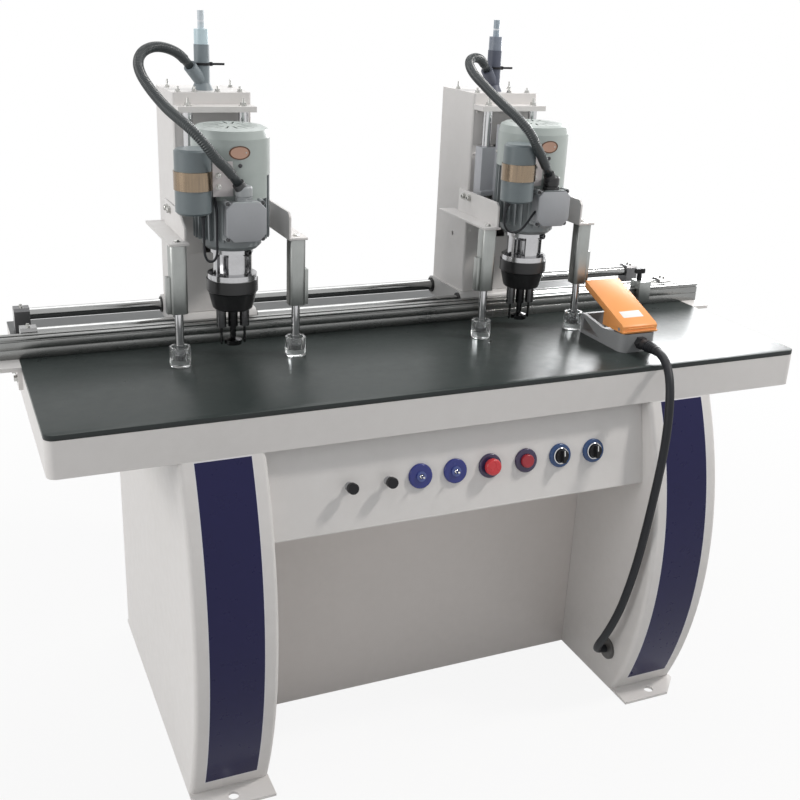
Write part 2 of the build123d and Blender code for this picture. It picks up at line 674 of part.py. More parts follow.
# Switches and valves, each drawn at the control row with +Z out of the panel
def at_control(x, piece):
    return CONTROL_ROW * Pos(x, 0, 0) * piece


def disc(z, radius):
    """A disc between two heights on the control's own axis."""
    return Pos(0, 0, (z[0] + z[1]) / 2) * Cylinder(radius, z[1] - z[0])


def switch_body(bore):
    """Round bezel, neck through the panel and contact block behind it, with the actuator's bore."""
    body = disc((0, BEZEL_HEIGHT), BEZEL_RADIUS)
    body = fillet(body.edges().group_by(Axis.Z)[-1], BEZEL_HEIGHT / 2)
    body += disc((-NECK_LENGTH, 0), NECK_RADIUS)
    half = CONTACT_BLOCK / 2
    body += block((-half, half), (-half, half), (-NECK_LENGTH - CONTACT_DEPTH, -NECK_LENGTH))
    return body - disc((-NECK_LENGTH - STEM_LENGTH, BEZEL_HEIGHT + 1), bore)


def switches():
    bodies = []
    for x in TOGGLE_X:
        nut = disc((BEZEL_HEIGHT, BEZEL_HEIGHT + TOGGLE_NUT_HEIGHT), TOGGLE_NUT)
        nut -= disc((0, BEZEL_HEIGHT + TOGGLE_NUT_HEIGHT + 1), TOGGLE_BALL + AIR_GAP)
        bodies.append(at_control(x, switch_body(TOGGLE_BALL + AIR_GAP) + nut))
    for x in BUTTON_X:
        body = switch_body(STEM_RADIUS + RUN_FIT)
        body -= disc((0, BEZEL_HEIGHT + 1), START_RADIUS + AIR_GAP)
        bodies.append(at_control(x, body))
    for x in SELECTOR_X:
        bodies.append(at_control(x, switch_body(SELECTOR_STEM + RUN_FIT)))
    for x in VALVE_X:
        half = CONTACT_BLOCK / 3
        body = disc((0, VALVE_NUT_HEIGHT), VALVE_NUT) + disc((-NECK_LENGTH, 0), VALVE_NECK)
        body += block((-half, half), (-half, half), (-NECK_LENGTH - CONTACT_DEPTH, -NECK_LENGTH))
        body -= disc((-NECK_LENGTH - STEM_LENGTH, VALVE_NUT_HEIGHT + 1), VALVE_STEM + RUN_FIT)
        bodies.append(at_control(x, body))
    save("switch_bodies", *bodies)


def actuators():
    for name, x in zip(("left", "right"), VALVE_X):
        knob = disc((VALVE_REACH - VALVE_KNOB_LENGTH, VALVE_REACH), VALVE_KNOB)
        knob = fillet(knob.edges().filter_by(GeomType.CIRCLE), VALVE_KNOB / 4)
        knob += disc((-NECK_LENGTH, VALVE_REACH - VALVE_KNOB / 2), VALVE_STEM)
        save(f"{name}_valve_knob", at_control(x, knob))
    pivot = BEZEL_HEIGHT
    for name, x in zip(("left", "right"), TOGGLE_X):
        lever = Pos(0, 0, pivot) * Sphere(TOGGLE_BALL)
        lever += disc((pivot, TOGGLE_REACH), TOGGLE_LEVER) + Pos(0, 0, TOGGLE_REACH) * Sphere(TOGGLE_LEVER)
        save(f"{name}_toggle", at_control(x, lever))
    stop_low = BEZEL_HEIGHT + MUSHROOM_TRAVEL + 1
    cap = disc((stop_low, stop_low + MUSHROOM_HEIGHT), MUSHROOM_RADIUS)
    cap = fillet(cap.edges().group_by(Axis.Z)[-1], MUSHROOM_HEIGHT / 2)
    save("stop_button", at_control(BUTTON_X[0], cap + disc((-NECK_LENGTH, stop_low), STEM_RADIUS)))
    start_low = START_TRAVEL + 0.5
    cap = disc((start_low, start_low + START_HEIGHT), START_RADIUS)
    cap = fillet(cap.edges().group_by(Axis.Z)[-1], START_HEIGHT / 3)
    save("start_button", at_control(BUTTON_X[1], cap + disc((-NECK_LENGTH, start_low), STEM_RADIUS)))
    low = BEZEL_HEIGHT + AIR_GAP
    top = low + SELECTOR_HEIGHT
    for name, x in zip(("left", "right"), SELECTOR_X):
        knob = disc((low, top), SELECTOR_RADIUS)
        half = SELECTOR_GRIP / 2
        grip = block((-half, half), (-SELECTOR_RADIUS, SELECTOR_RADIUS), (low, top + SELECTOR_GRIP))
        knob += grip & disc((low, top + SELECTOR_GRIP), SELECTOR_RADIUS)
        save(f"{name}_selector", at_control(x, knob + disc((-NECK_LENGTH, low), SELECTOR_STEM)))


# Foot pedal
PEDAL_Y = FRONT_Y + PEDAL_SETBACK
PEDAL_BACK = PEDAL_Y + PEDAL_LENGTH
PEDAL_BOX_BACK = PEDAL_Y + PEDAL_BOX_LENGTH
PEDAL_TOP = TABLE_HEIGHT + PEDAL_BOX_HEIGHT
PIN_Y = PEDAL_Y + PEDAL_PIN_SETBACK
PIN_Z = PEDAL_TOP + PEDAL_PIN_ABOVE
PEDAL_SIDES = (PEDAL_X - PEDAL_HALF, PEDAL_X + PEDAL_HALF)


def pedal_base():
    """Cast base: a closed switch box in front, two side rails behind it, the hinge ears and the pin."""
    drop = (PEDAL_BOX_LENGTH - PEDAL_PIN_SETBACK) * math.tan(math.radians(PEDAL_TILT)) + 2
    box = [(PEDAL_Y, TABLE_HEIGHT), (PEDAL_BOX_BACK, TABLE_HEIGHT), (PEDAL_BOX_BACK, PEDAL_TOP - drop),
           (PIN_Y, PEDAL_TOP - 2), (PEDAL_Y, PEDAL_TOP - 2)]
    base = plate_yz(PEDAL_SIDES, box)
    base = fillet(base.edges().filter_by(Axis.Z).group_by(Axis.Y)[0], PEDAL_PIN_SETBACK)
    base += block(PEDAL_SIDES, (PEDAL_BOX_BACK - 1, PEDAL_BACK), (TABLE_HEIGHT, TABLE_HEIGHT + PEDAL_PLATE))
    rail_top = TABLE_HEIGHT + PEDAL_RAIL_HEIGHT
    rail = [(PEDAL_BOX_BACK - 1, TABLE_HEIGHT), (PEDAL_BACK, TABLE_HEIGHT), (PEDAL_BACK, rail_top),
            (PEDAL_BACK - PEDAL_RAIL, rail_top), (PEDAL_BOX_BACK - 1, PEDAL_TOP - drop)]
    window = [(PEDAL_BOX_BACK + PEDAL_RAIL, TABLE_HEIGHT + PEDAL_RAIL),
              (PEDAL_BACK - PEDAL_RAIL, TABLE_HEIGHT + PEDAL_RAIL),
              (PEDAL_BACK - PEDAL_RAIL, rail_top - PEDAL_RAIL)]
    for x in ((PEDAL_SIDES[0], PEDAL_SIDES[0] + PEDAL_RAIL), (PEDAL_SIDES[1] - PEDAL_RAIL, PEDAL_SIDES[1])):
        base += plate_yz(x, rail) - plate_yz((x[0] - 1, x[1] + 1), window)
    base += block(PEDAL_SIDES, (PEDAL_BACK - PEDAL_RAIL, PEDAL_BACK), (TABLE_HEIGHT, rail_top))
    inset = TREADLE_WALL + AIR_GAP
    for x in ((PEDAL_SIDES[0] + inset, PEDAL_SIDES[0] + inset + PEDAL_EAR),
              (PEDAL_SIDES[1] - inset - PEDAL_EAR, PEDAL_SIDES[1] - inset)):
        base += block(x, (PIN_Y - PEDAL_PIN, PIN_Y + 2 * PEDAL_PIN), (PEDAL_TOP - PEDAL_EAR, PIN_Z))
        base += bar_x(x, PIN_Y, PIN_Z, 2 * PEDAL_PIN * 0.75)
    base -= bar_x((PEDAL_SIDES[0] - 1, PEDAL_SIDES[1] + 1), PIN_Y, PIN_Z, PEDAL_PIN + SLIP_FIT)
    pin = bar_x(PEDAL_SIDES, PIN_Y, PIN_Z, PEDAL_PIN)
    gland_z = TABLE_HEIGHT + CABLE_GLAND_Z
    gland_y = (PEDAL_Y - CABLE_GLAND_LENGTH, PEDAL_Y)
    nut = Plane((PEDAL_X, PEDAL_Y, gland_z), x_dir=(1, 0, 0), z_dir=(0, -1, 0))
    gland = extrude(nut * RegularPolygon(CABLE_GLAND_RADIUS, 6), amount=CABLE_GLAND_LENGTH / 2)
    gland += bar_y(PEDAL_X, gland_y, gland_z, CABLE_GLAND_RADIUS * 0.85)
    gland -= bar_y(PEDAL_X, (gland_y[0] - 1, PEDAL_Y - SHEET), gland_z, CABLE_RADIUS + SLIP_FIT)
    save("pedal_base", base, pin, gland)


def pedal_treadle():
    """Hinged cover that the foot presses: deep skirt in front, thin raised tail behind."""
    front = PEDAL_Y + TREADLE_INSET
    crown = PEDAL_TOP + TREADLE_FRONT_HEIGHT
    slope = TREADLE_RISE / PEDAL_LENGTH
    box_top = crown + slope * PEDAL_BOX_LENGTH
    back_top = crown + TREADLE_RISE
    outside = [(PEDAL_Y, PEDAL_TOP), (PEDAL_BOX_BACK, PEDAL_TOP), (PEDAL_BOX_BACK, box_top - TREADLE_TAIL),
               (PEDAL_BACK, back_top - TREADLE_TAIL), (PEDAL_BACK, back_top), (front + TREADLE_INSET, crown),
               (front, crown - TREADLE_INSET), (front, PEDAL_TOP + TREADLE_INSET),
               (PEDAL_Y, PEDAL_TOP + TREADLE_INSET)]
    wall = TREADLE_WALL
    inside = [(front + wall, PEDAL_TOP - 1), (PEDAL_BOX_BACK - wall, PEDAL_TOP - 1),
              (PEDAL_BOX_BACK - wall, box_top - 2 * wall), (front + wall, crown - 2 * wall)]
    shell = plate_yz(PEDAL_SIDES, outside)
    shell -= plate_yz((PEDAL_SIDES[0] + wall, PEDAL_SIDES[1] - wall), inside)
    shell -= bar_x((PEDAL_SIDES[0] - 1, PEDAL_SIDES[1] + 1), PIN_Y, PIN_Z, PEDAL_PIN + RUN_FIT)
    save("pedal_treadle", shell)


def pedal_cable():
    start = (PEDAL_X, PEDAL_Y - SHEET, TABLE_HEIGHT + CABLE_GLAND_Z)
    first = (PEDAL_X, PEDAL_Y - CABLE_GLAND_LENGTH, TABLE_HEIGHT + CABLE_GLAND_Z)
    free = [(x, FRONT_Y + setback, TABLE_HEIGHT + height) for x, setback, height in CABLE_ROUTE]
    turn_in = (LEG_IN - 3 * GROMMET_PROUD - CABLE_RADIUS, FRONT_Y + GROMMET_SETBACK, GROMMET_Z)
    end = (LEG_IN + LEG_WALL, FRONT_Y + GROMMET_SETBACK, GROMMET_Z)
    path = route_path("pedal cable", [first, *free, turn_in, end])
    cable = round_tube(path, CABLE_RADIUS) + spoke(start, Vector(0, -1, 0), start[1] - first[1], CABLE_RADIUS)
    expected = math.pi * CABLE_RADIUS ** 2 * (path.length + start[1] - first[1])
    print("pedal cable volume against section times length", round(cable.volume / expected, 4))
    save("pedal_cable", cable)


# One drilling head
def carriage(side, x):
    """Sliding base round the two shafts, with a bearing bush at both ends of each bore."""
    length = (x - BASE_HALF, x + BASE_HALF)
    base = block(length, (FRONT_SHAFT_Y, REAR_SHAFT_Y), (SHAFT_Z - BASE_RADIUS, SHAFT_Z + BASE_RADIUS))
    bushes = []
    for y in (FRONT_SHAFT_Y, REAR_SHAFT_Y):
        base += bar_x(length, y, SHAFT_Z, BASE_RADIUS)
    for y in (FRONT_SHAFT_Y, REAR_SHAFT_Y):
        base -= bar_x((length[0] - 1, length[1] + 1), y, SHAFT_Z, BUSH_RADIUS + SLIP_FIT)
        for end, way in ((length[0] - BUSH_PROUD, 1), (length[1] + BUSH_PROUD, -1)):
            bush = bar_x(sorted((end, end + way * BUSH_LENGTH)), y, SHAFT_Z, BUSH_RADIUS)
            bushes.append(bush - bar_x((length[0] - 9, length[1] + 9), y, SHAFT_Z, SHAFT_RADIUS + RUN_FIT))
    save(f"{side}_carriage", base, *bushes)


def column(side, x):
    """Sheet column with an open front between its top band and its lower cover."""
    y = (COLUMN_Y, COLUMN_Y + COLUMN_DEPTH)
    wall = COLUMN_WALL
    housing = block((x - COLUMN_HALF, x + COLUMN_HALF), y, (COLUMN_LOW, COLUMN_TOP))
    housing = fillet(housing.edges().filter_by(Axis.Z), COLUMN_ROUND)
    inner_x = (x - COLUMN_HALF + wall, x + COLUMN_HALF - wall)
    housing -= block(inner_x, (y[0] + wall, y[1] - wall), (COLUMN_LOW + wall, COLUMN_TOP - wall))
    window_z = (COLUMN_LOW + COLUMN_COVER_HEIGHT, COLUMN_TOP - COLUMN_BAND)
    housing -= block(inner_x, (y[0] - 1, y[0] + 2 * wall), window_z)
    hole_x = (x - COLUMN_HALF - 1, inner_x[0] + 1)
    hole_y = COLUMN_Y + COLUMN_HOLE_BEHIND
    housing -= bar_x(hole_x, hole_y, COLUMN_LOW + COLUMN_HOLE_Z, COLUMN_HOLE_RADIUS)
    save(f"{side}_column", housing)


def guide_frame(side, x):
    """Top bar, lower bar and two rods in front of the column, and the feed cylinder inside it."""
    bar_depth = (BAR_Y, COLUMN_Y)
    top_z = (TOP_BAR_LOW, TOP_BAR_LOW + TOP_BAR_HEIGHT)
    top = block((x - TOP_BAR_HALF, x + TOP_BAR_HALF), bar_depth, top_z)
    lower = block((x - LOWER_BAR_HALF, x + LOWER_BAR_HALF), bar_depth, (LOWER_BAR_LOW, LOWER_BAR_TOP))
    rod_z = (LOWER_BAR_LOW, TOP_BAR_LOW + ROD_SEAT)
    rods = []
    for way in (-1, 1):
        rod_x = x + way * ROD_HALF_SPACING
        top -= post(rod_x, ROD_Y, rod_z, ROD_RADIUS + SLIP_FIT)
        lower -= post(rod_x, ROD_Y, rod_z, ROD_RADIUS + SLIP_FIT)
        rods.append(post(rod_x, ROD_Y, rod_z, ROD_RADIUS))
    barrel = post(x, FEED_Y, (FEED_LOW, FEED_TOP), FEED_RADIUS)
    barrel -= post(x, FEED_Y, (FEED_LOW + FEED_CAP, FEED_TOP - FEED_CAP), FEED_BORE)
    barrel -= post(x, FEED_Y, (FEED_LOW - 1, FEED_LOW + FEED_CAP + 1), FEED_ROD + RUN_FIT)
    save(f"{side}_guide_frame", top, lower, *rods, barrel)


def slide(side, x):
    """Motor plate, a strip across its two bearing blocks, the feed lug, and the feed piston on its rod."""
    plate_z = (BLOCK_LOW - SLIDE_BELOW_BLOCK, BLOCK_TOP + SLIDE_ABOVE_BLOCK)
    plate = block((x - SLIDE_HALF, x + SLIDE_HALF), (SLIDE_Y - SLIDE_THICKNESS, SLIDE_Y), plate_z)
    block_y = (SLIDE_Y, SLIDE_Y + BLOCK_DEPTH)
    half = BLOCK_WIDTH / 2
    strip_x = (x - ROD_HALF_SPACING - half, x + ROD_HALF_SPACING + half)
    plate += block(strip_x, (SLIDE_Y - STRIP_THICKNESS, SLIDE_Y), (BLOCK_LOW, BLOCK_LOW + STRIP_HEIGHT))
    for way in (-1, 1):
        rod_x = x + way * ROD_HALF_SPACING
        carrier = block((rod_x - half, rod_x + half), block_y, (BLOCK_LOW, BLOCK_TOP))
        plate += carrier - post(rod_x, ROD_Y, (BLOCK_LOW - 1, BLOCK_TOP + 1), ROD_RADIUS + RUN_FIT)
    lug_z = (BLOCK_LOW, BLOCK_LOW + FEED_LUG_HEIGHT)
    plate += block((x - LUG_HALF, x + LUG_HALF), (SLIDE_Y, FEED_Y + LUG_HALF), lug_z)
    piston_low = FEED_LOW + FEED_CAP + 1 + FEED_DOWN
    rod = post(x, FEED_Y, (lug_z[1], piston_low + FEED_PISTON_HEIGHT), FEED_ROD)
    rod += post(x, FEED_Y, (piston_low, piston_low + FEED_PISTON_HEIGHT), FEED_BORE - RUN_FIT)
    save(f"{side}_slide", plate, rod)


def gear(x, y, z, half_turn):
    """A straight gear of trapezoid teeth, turned by half a tooth where it meshes beside another."""
    pitch = BIT_SPACING / 2
    tooth = 2 * math.pi / GEAR_TEETH
    outline = []
    for number in range(GEAR_TEETH):
        middle = (number + (0.5 if half_turn else 0)) * tooth
        for share, radius in ((-0.30, pitch - GEAR_DEDENDUM), (-0.13, pitch + GEAR_ADDENDUM),
                              (0.13, pitch + GEAR_ADDENDUM), (0.30, pitch - GEAR_DEDENDUM)):
            angle = middle + share * tooth
            outline.append((x + radius * math.cos(angle), y + radius * math.sin(angle), z))
    return extrude(make_face(Polyline(outline, close=True)), amount=GEAR_HEIGHT, dir=(0, 0, 1))


def spindles(side, x):
    """Middle spindle with the hinge cutter, rotor and fan, and two geared side spindles with their bits."""
    y = SPINDLE_Y
    gear_low = GEARBOX_LOW + GEARBOX_FLOOR + 2
    shaft_top = GEARBOX_TOP + ADAPTER_FLANGE_HEIGHT + COUPLING_HEIGHT / 2
    cutter = turned(x, y, [(0, TIP_Z), (CUTTER_RADIUS, TIP_Z), (CUTTER_RADIUS, CUTTER_TOP - CUTTER_SHOULDER),
                           (CUTTER_STEM, CUTTER_TOP), (CUTTER_STEM, SLEEVE_LOW), (0, SLEEVE_LOW)])
    gash_z = (TIP_Z - 1, CUTTER_TOP - CUTTER_SHOULDER)
    gash = block((CUTTER_CORE, CUTTER_RADIUS + 1), (0, CUTTER_GASH), gash_z)
    for turn in (0, 180):
        cutter -= Pos(x, y, 0) * Rot(0, 0, turn) * gash
    core = CUTTER_CORE / 2
    cutter += turned(x, y, [(0, TIP_Z - CUTTER_POINT), (core, TIP_Z), (core, TIP_Z + 1), (0, TIP_Z + 1)])
    middle = cutter + post(x, y, (SLEEVE_LOW, GEARBOX_LOW - AIR_GAP), SLEEVE_RADIUS)
    middle += post(x, y, (GEARBOX_LOW - 1, shaft_top), SPINDLE_RADIUS)
    middle += gear(x, y, gear_low, False)
    coupling_low = GEARBOX_TOP + ADAPTER_FLANGE_HEIGHT + 2
    fan_low = MOTOR_TOP + FAN_COVER_WALL + 4
    rotor = post(x, y, (coupling_low, coupling_low + COUPLING_HEIGHT), COUPLING_RADIUS)
    rotor += post(x, y, (coupling_low, fan_low + FAN_HEIGHT), MOTOR_SHAFT)
    rotor += post(x, y, (fan_low, fan_low + 3), FAN_RADIUS)
    for number in range(FAN_BLADES):
        blade = block((MOTOR_SHAFT - 1, FAN_RADIUS), (-1.5, 1.5), (fan_low, fan_low + FAN_HEIGHT))
        rotor += Pos(x, y, 0) * Rot(0, 0, number * 360 / FAN_BLADES) * blade
    rotor -= post(x, y, (coupling_low - 1, shaft_top), SPINDLE_RADIUS + SLIP_FIT)
    save(f"{side}_centre_spindle", middle, rotor)
    for name, way in (("near", -1), ("far", 1)):
        bit_x = x + way * BIT_SPACING
        bit = turned(bit_x, y, [(0, TIP_Z - 1), (BIT_RADIUS, TIP_Z + 2), (BIT_RADIUS, SLEEVE_LOW),
                                (0, SLEEVE_LOW)])
        bit += post(bit_x, y, (SLEEVE_LOW, GEARBOX_LOW - AIR_GAP), SLEEVE_RADIUS)
        bit += post(bit_x, y, (GEARBOX_LOW - 1, GEARBOX_TOP + JOURNAL_DEPTH), SPINDLE_RADIUS)
        bit += gear(bit_x, y, gear_low, True)
        save(f"{side}_{name}_spindle", bit)


def gearbox(side, x):
    """Gear case open to the adapter above it, with a bore for each spindle in its floor."""
    y = SPINDLE_Y
    step = GEARBOX_TOP - GEARBOX_STEP
    case = turned(x, y, [(0, GEARBOX_LOW), (GEARBOX_LOW_RADIUS - 3, GEARBOX_LOW),
                         (GEARBOX_LOW_RADIUS, GEARBOX_LOW + 3), (GEARBOX_STEP_RADIUS, step),
                         (GEARBOX_TOP_RADIUS, step + 3), (GEARBOX_TOP_RADIUS, GEARBOX_TOP), (0, GEARBOX_TOP)])
    cavity_z = (GEARBOX_LOW + GEARBOX_FLOOR, GEARBOX_TOP + 1)
    case -= block((x - BIT_SPACING, x + BIT_SPACING), (y - GEARBOX_CAVITY, y + GEARBOX_CAVITY), cavity_z)
    for way in (-1, 0, 1):
        if way:
            case -= post(x + way * BIT_SPACING, y, cavity_z, GEARBOX_CAVITY)
        case -= post(x + way * BIT_SPACING, y, (GEARBOX_LOW - 1, cavity_z[0] + 1), SPINDLE_RADIUS + RUN_FIT)
    save(f"{side}_gearbox", case)


def adapter(side, x):
    """Steel lantern between gear case and motor, with four windows round the coupling."""
    y = SPINDLE_Y
    flange_top = GEARBOX_TOP + ADAPTER_FLANGE_HEIGHT
    head_low = ADAPTER_TOP - ADAPTER_HEAD_HEIGHT
    lantern = turned(x, y, [(0, GEARBOX_TOP), (ADAPTER_FLANGE_RADIUS, GEARBOX_TOP),
                            (ADAPTER_FLANGE_RADIUS, flange_top), (ADAPTER_RADIUS, flange_top),
                            (ADAPTER_RADIUS, head_low), (ADAPTER_HEAD_RADIUS, head_low),
                            (ADAPTER_HEAD_RADIUS, ADAPTER_TOP), (0, ADAPTER_TOP)])
    lantern -= post(x, y, (flange_top, head_low), ADAPTER_BORE)
    lantern -= post(x, y, (head_low - 1, ADAPTER_TOP + 1), MOTOR_SHAFT + 4)
    window = block((-ADAPTER_WINDOW / 2, ADAPTER_WINDOW / 2), (0, ADAPTER_RADIUS + 1), (flange_top, head_low))
    for quarter in range(4):
        lantern -= Pos(x, y, 0) * Rot(0, 0, 45 + 90 * quarter) * window
    lantern -= post(x, y, (GEARBOX_TOP - 1, flange_top + 1), SPINDLE_RADIUS + RUN_FIT)
    for way in (-1, 1):
        journal_z = (GEARBOX_TOP - 1, GEARBOX_TOP + JOURNAL_DEPTH + AIR_GAP)
        lantern -= post(x + way * BIT_SPACING, y, journal_z, SPINDLE_RADIUS + RUN_FIT)
    save(f"{side}_adapter", lantern)


def motor(side, x):
    """Ribbed motor body with its lower shield, upper rim, rear pad and terminal pad, and its fan cover."""
    y = SPINDLE_Y
    rim_low = MOTOR_TOP - RIM_HEIGHT
    body = turned(x, y, [(0, ADAPTER_TOP), (SHIELD_RADIUS - SHIELD_EDGE, ADAPTER_TOP),
                         (SHIELD_RADIUS, ADAPTER_TOP + SHIELD_EDGE), (SHIELD_RADIUS, MOTOR_LOW),
                         (MOTOR_CORE, MOTOR_LOW), (MOTOR_CORE, rim_low), (FAN_COVER_RADIUS, rim_low),
                         (FAN_COVER_RADIUS, MOTOR_TOP), (0, MOTOR_TOP)])
    rib = block((MOTOR_CORE - 2, MOTOR_RADIUS), (-RIB_WIDTH / 2, RIB_WIDTH / 2), (MOTOR_LOW, rim_low))
    for number in range(RIB_COUNT):
        body += Pos(x, y, 0) * Rot(0, 0, (number + 0.5) * 360 / RIB_COUNT) * rib
    pad_z = (MOTOR_LOW + MOTOR_PAD_INSET, MOTOR_TOP - MOTOR_PAD_INSET)
    pad_y = (y + MOTOR_CORE / 2, SLIDE_Y - SLIDE_THICKNESS)
    body += block((x - MOTOR_PAD_HALF, x + MOTOR_PAD_HALF), pad_y, pad_z)
    box_back = y - MOTOR_RADIUS - BOX_PAD
    box_z = (MOTOR_LOW + BOX_ABOVE_MOTOR + BOX_PAD, MOTOR_LOW + BOX_ABOVE_MOTOR + 2 * BOX_HALF - BOX_PAD)
    body += block((x - BOX_HALF + BOX_PAD, x + BOX_HALF - BOX_PAD), (box_back, y - MOTOR_CORE / 2), box_z)
    saddle_x = (x + SADDLE_X[0], x + SADDLE_X[1])
    saddle = post(x, y, (box_z[1], MOTOR_TOP), FAN_COVER_RADIUS)
    body += saddle & block(saddle_x, (box_back - 1, y - MOTOR_CORE / 2), (box_z[1], MOTOR_TOP))
    body -= post(x, y, (ADAPTER_TOP - 1, MOTOR_TOP + 1), MOTOR_SHAFT + AIR_GAP)
    save(f"{side}_motor_body", body)
    dome = COVER_TOP - FAN_COVER_DOME
    wall = FAN_COVER_WALL
    half_way = (FAN_COVER_RADIUS + FAN_COVER_TOP) / 2 + wall
    cover = turned(x, y, [(FAN_COVER_RADIUS - wall, MOTOR_TOP), (FAN_COVER_RADIUS, MOTOR_TOP),
                          (FAN_COVER_RADIUS, dome), (half_way, COVER_TOP - wall * 2),
                          (FAN_COVER_TOP, COVER_TOP), (0, COVER_TOP),
                          (0, COVER_TOP - wall), (FAN_COVER_TOP - wall, COVER_TOP - wall),
                          (half_way - wall, COVER_TOP - wall * 3), (FAN_COVER_RADIUS - wall, dome - wall)])
    slot = block(FAN_SLOT_X, (-wall, wall), (COVER_TOP - 3 * wall, COVER_TOP + 1))
    for number in range(FAN_COVER_SLOTS):
        cover -= Pos(x, y, 0) * Rot(0, 0, number * 360 / FAN_COVER_SLOTS) * slot
    save(f"{side}_fan_cover", cover)


def terminal_box(side, x):
    """Box on the motor's front with an eight-sided lid and a swivel gland for the motor hose."""
    back = SPINDLE_Y - MOTOR_RADIUS - BOX_PAD
    front = back - BOX_DEPTH
    low = MOTOR_LOW + BOX_ABOVE_MOTOR
    middle = low + BOX_HALF
    box = block((x - BOX_HALF, x + BOX_HALF), (front + LID_THICKNESS, back), (low, low + 2 * BOX_HALF))
    box = fillet(box.edges().filter_by(Axis.Y), BOX_ROUND)
    lid_z = (middle - LID_HALF, middle + LID_HALF)
    lid = block((x - LID_HALF, x + LID_HALF), (front, front + LID_THICKNESS), lid_z)
    lid = chamfer(lid.edges().filter_by(Axis.Y), LID_CORNER)
    gland_y = gland_axis_y()
    gland_low = low + 2 * BOX_HALF
    gland = post(x, gland_y, (gland_low, gland_low + GLAND_HEIGHT), GLAND_RADIUS)
    ball = Vector(x, gland_y, gland_low + GLAND_HEIGHT)
    gland += Pos(*ball) * Sphere(GLAND_RADIUS)
    gland += spoke(ball, GLAND_WAY, GLAND_NOZZLE_LENGTH, GLAND_NOZZLE)
    save(f"{side}_terminal_box", box, lid, gland)


def gland_axis_y():
    return SPINDLE_Y - MOTOR_RADIUS - BOX_PAD - GLAND_RADIUS - 1


def capacitor(side, x):
    """Starting capacitor beside the motor, its clamp band and the plate that carries it."""
    aside, ahead = CAN_PLACE[side]
    can_x = x + aside
    can_y = SPINDLE_Y - ahead
    low = MOTOR_LOW + CAN_ABOVE_MOTOR
    top = low + CAN_HEIGHT
    can = turned(can_x, can_y, [(0, low), (CAN_RADIUS - CAN_EDGE, low), (CAN_RADIUS, low + CAN_EDGE),
                                (CAN_RADIUS, top - CAN_EDGE), (CAN_RADIUS - CAN_EDGE, top), (0, top)])
    band_z = (low + BAND_ABOVE_CAN, low + BAND_ABOVE_CAN + BAND_HEIGHT)
    band = post(can_x, can_y, band_z, CAN_RADIUS + BAND_THICKNESS)
    band -= post(can_x, can_y, (band_z[0] - 1, band_z[1] + 1), CAN_RADIUS + SLIP_FIT)
    plate_y = (SPINDLE_Y - MOTOR_RADIUS - BOX_PAD, SPINDLE_Y - MOTOR_RADIUS - BOX_PAD + CLAMP_PLATE)
    middle = (band_z[0] + band_z[1]) / 2
    plate_z = (middle - CLAMP_PLATE_HEIGHT / 2, middle + CLAMP_PLATE_HEIGHT / 2)
    plate = block((can_x, x + CLAMP_PLATE_END), plate_y, plate_z)
    plate -= post(can_x, can_y, (plate_z[0] - 1, plate_z[1] + 1), CAN_RADIUS + BAND_THICKNESS + SLIP_FIT)
    plate -= post(x, SPINDLE_Y, (plate_z[0] - 1, plate_z[1] + 1), FAN_COVER_RADIUS + SLIP_FIT)
    save(f"{side}_capacitor", can, band, plate)


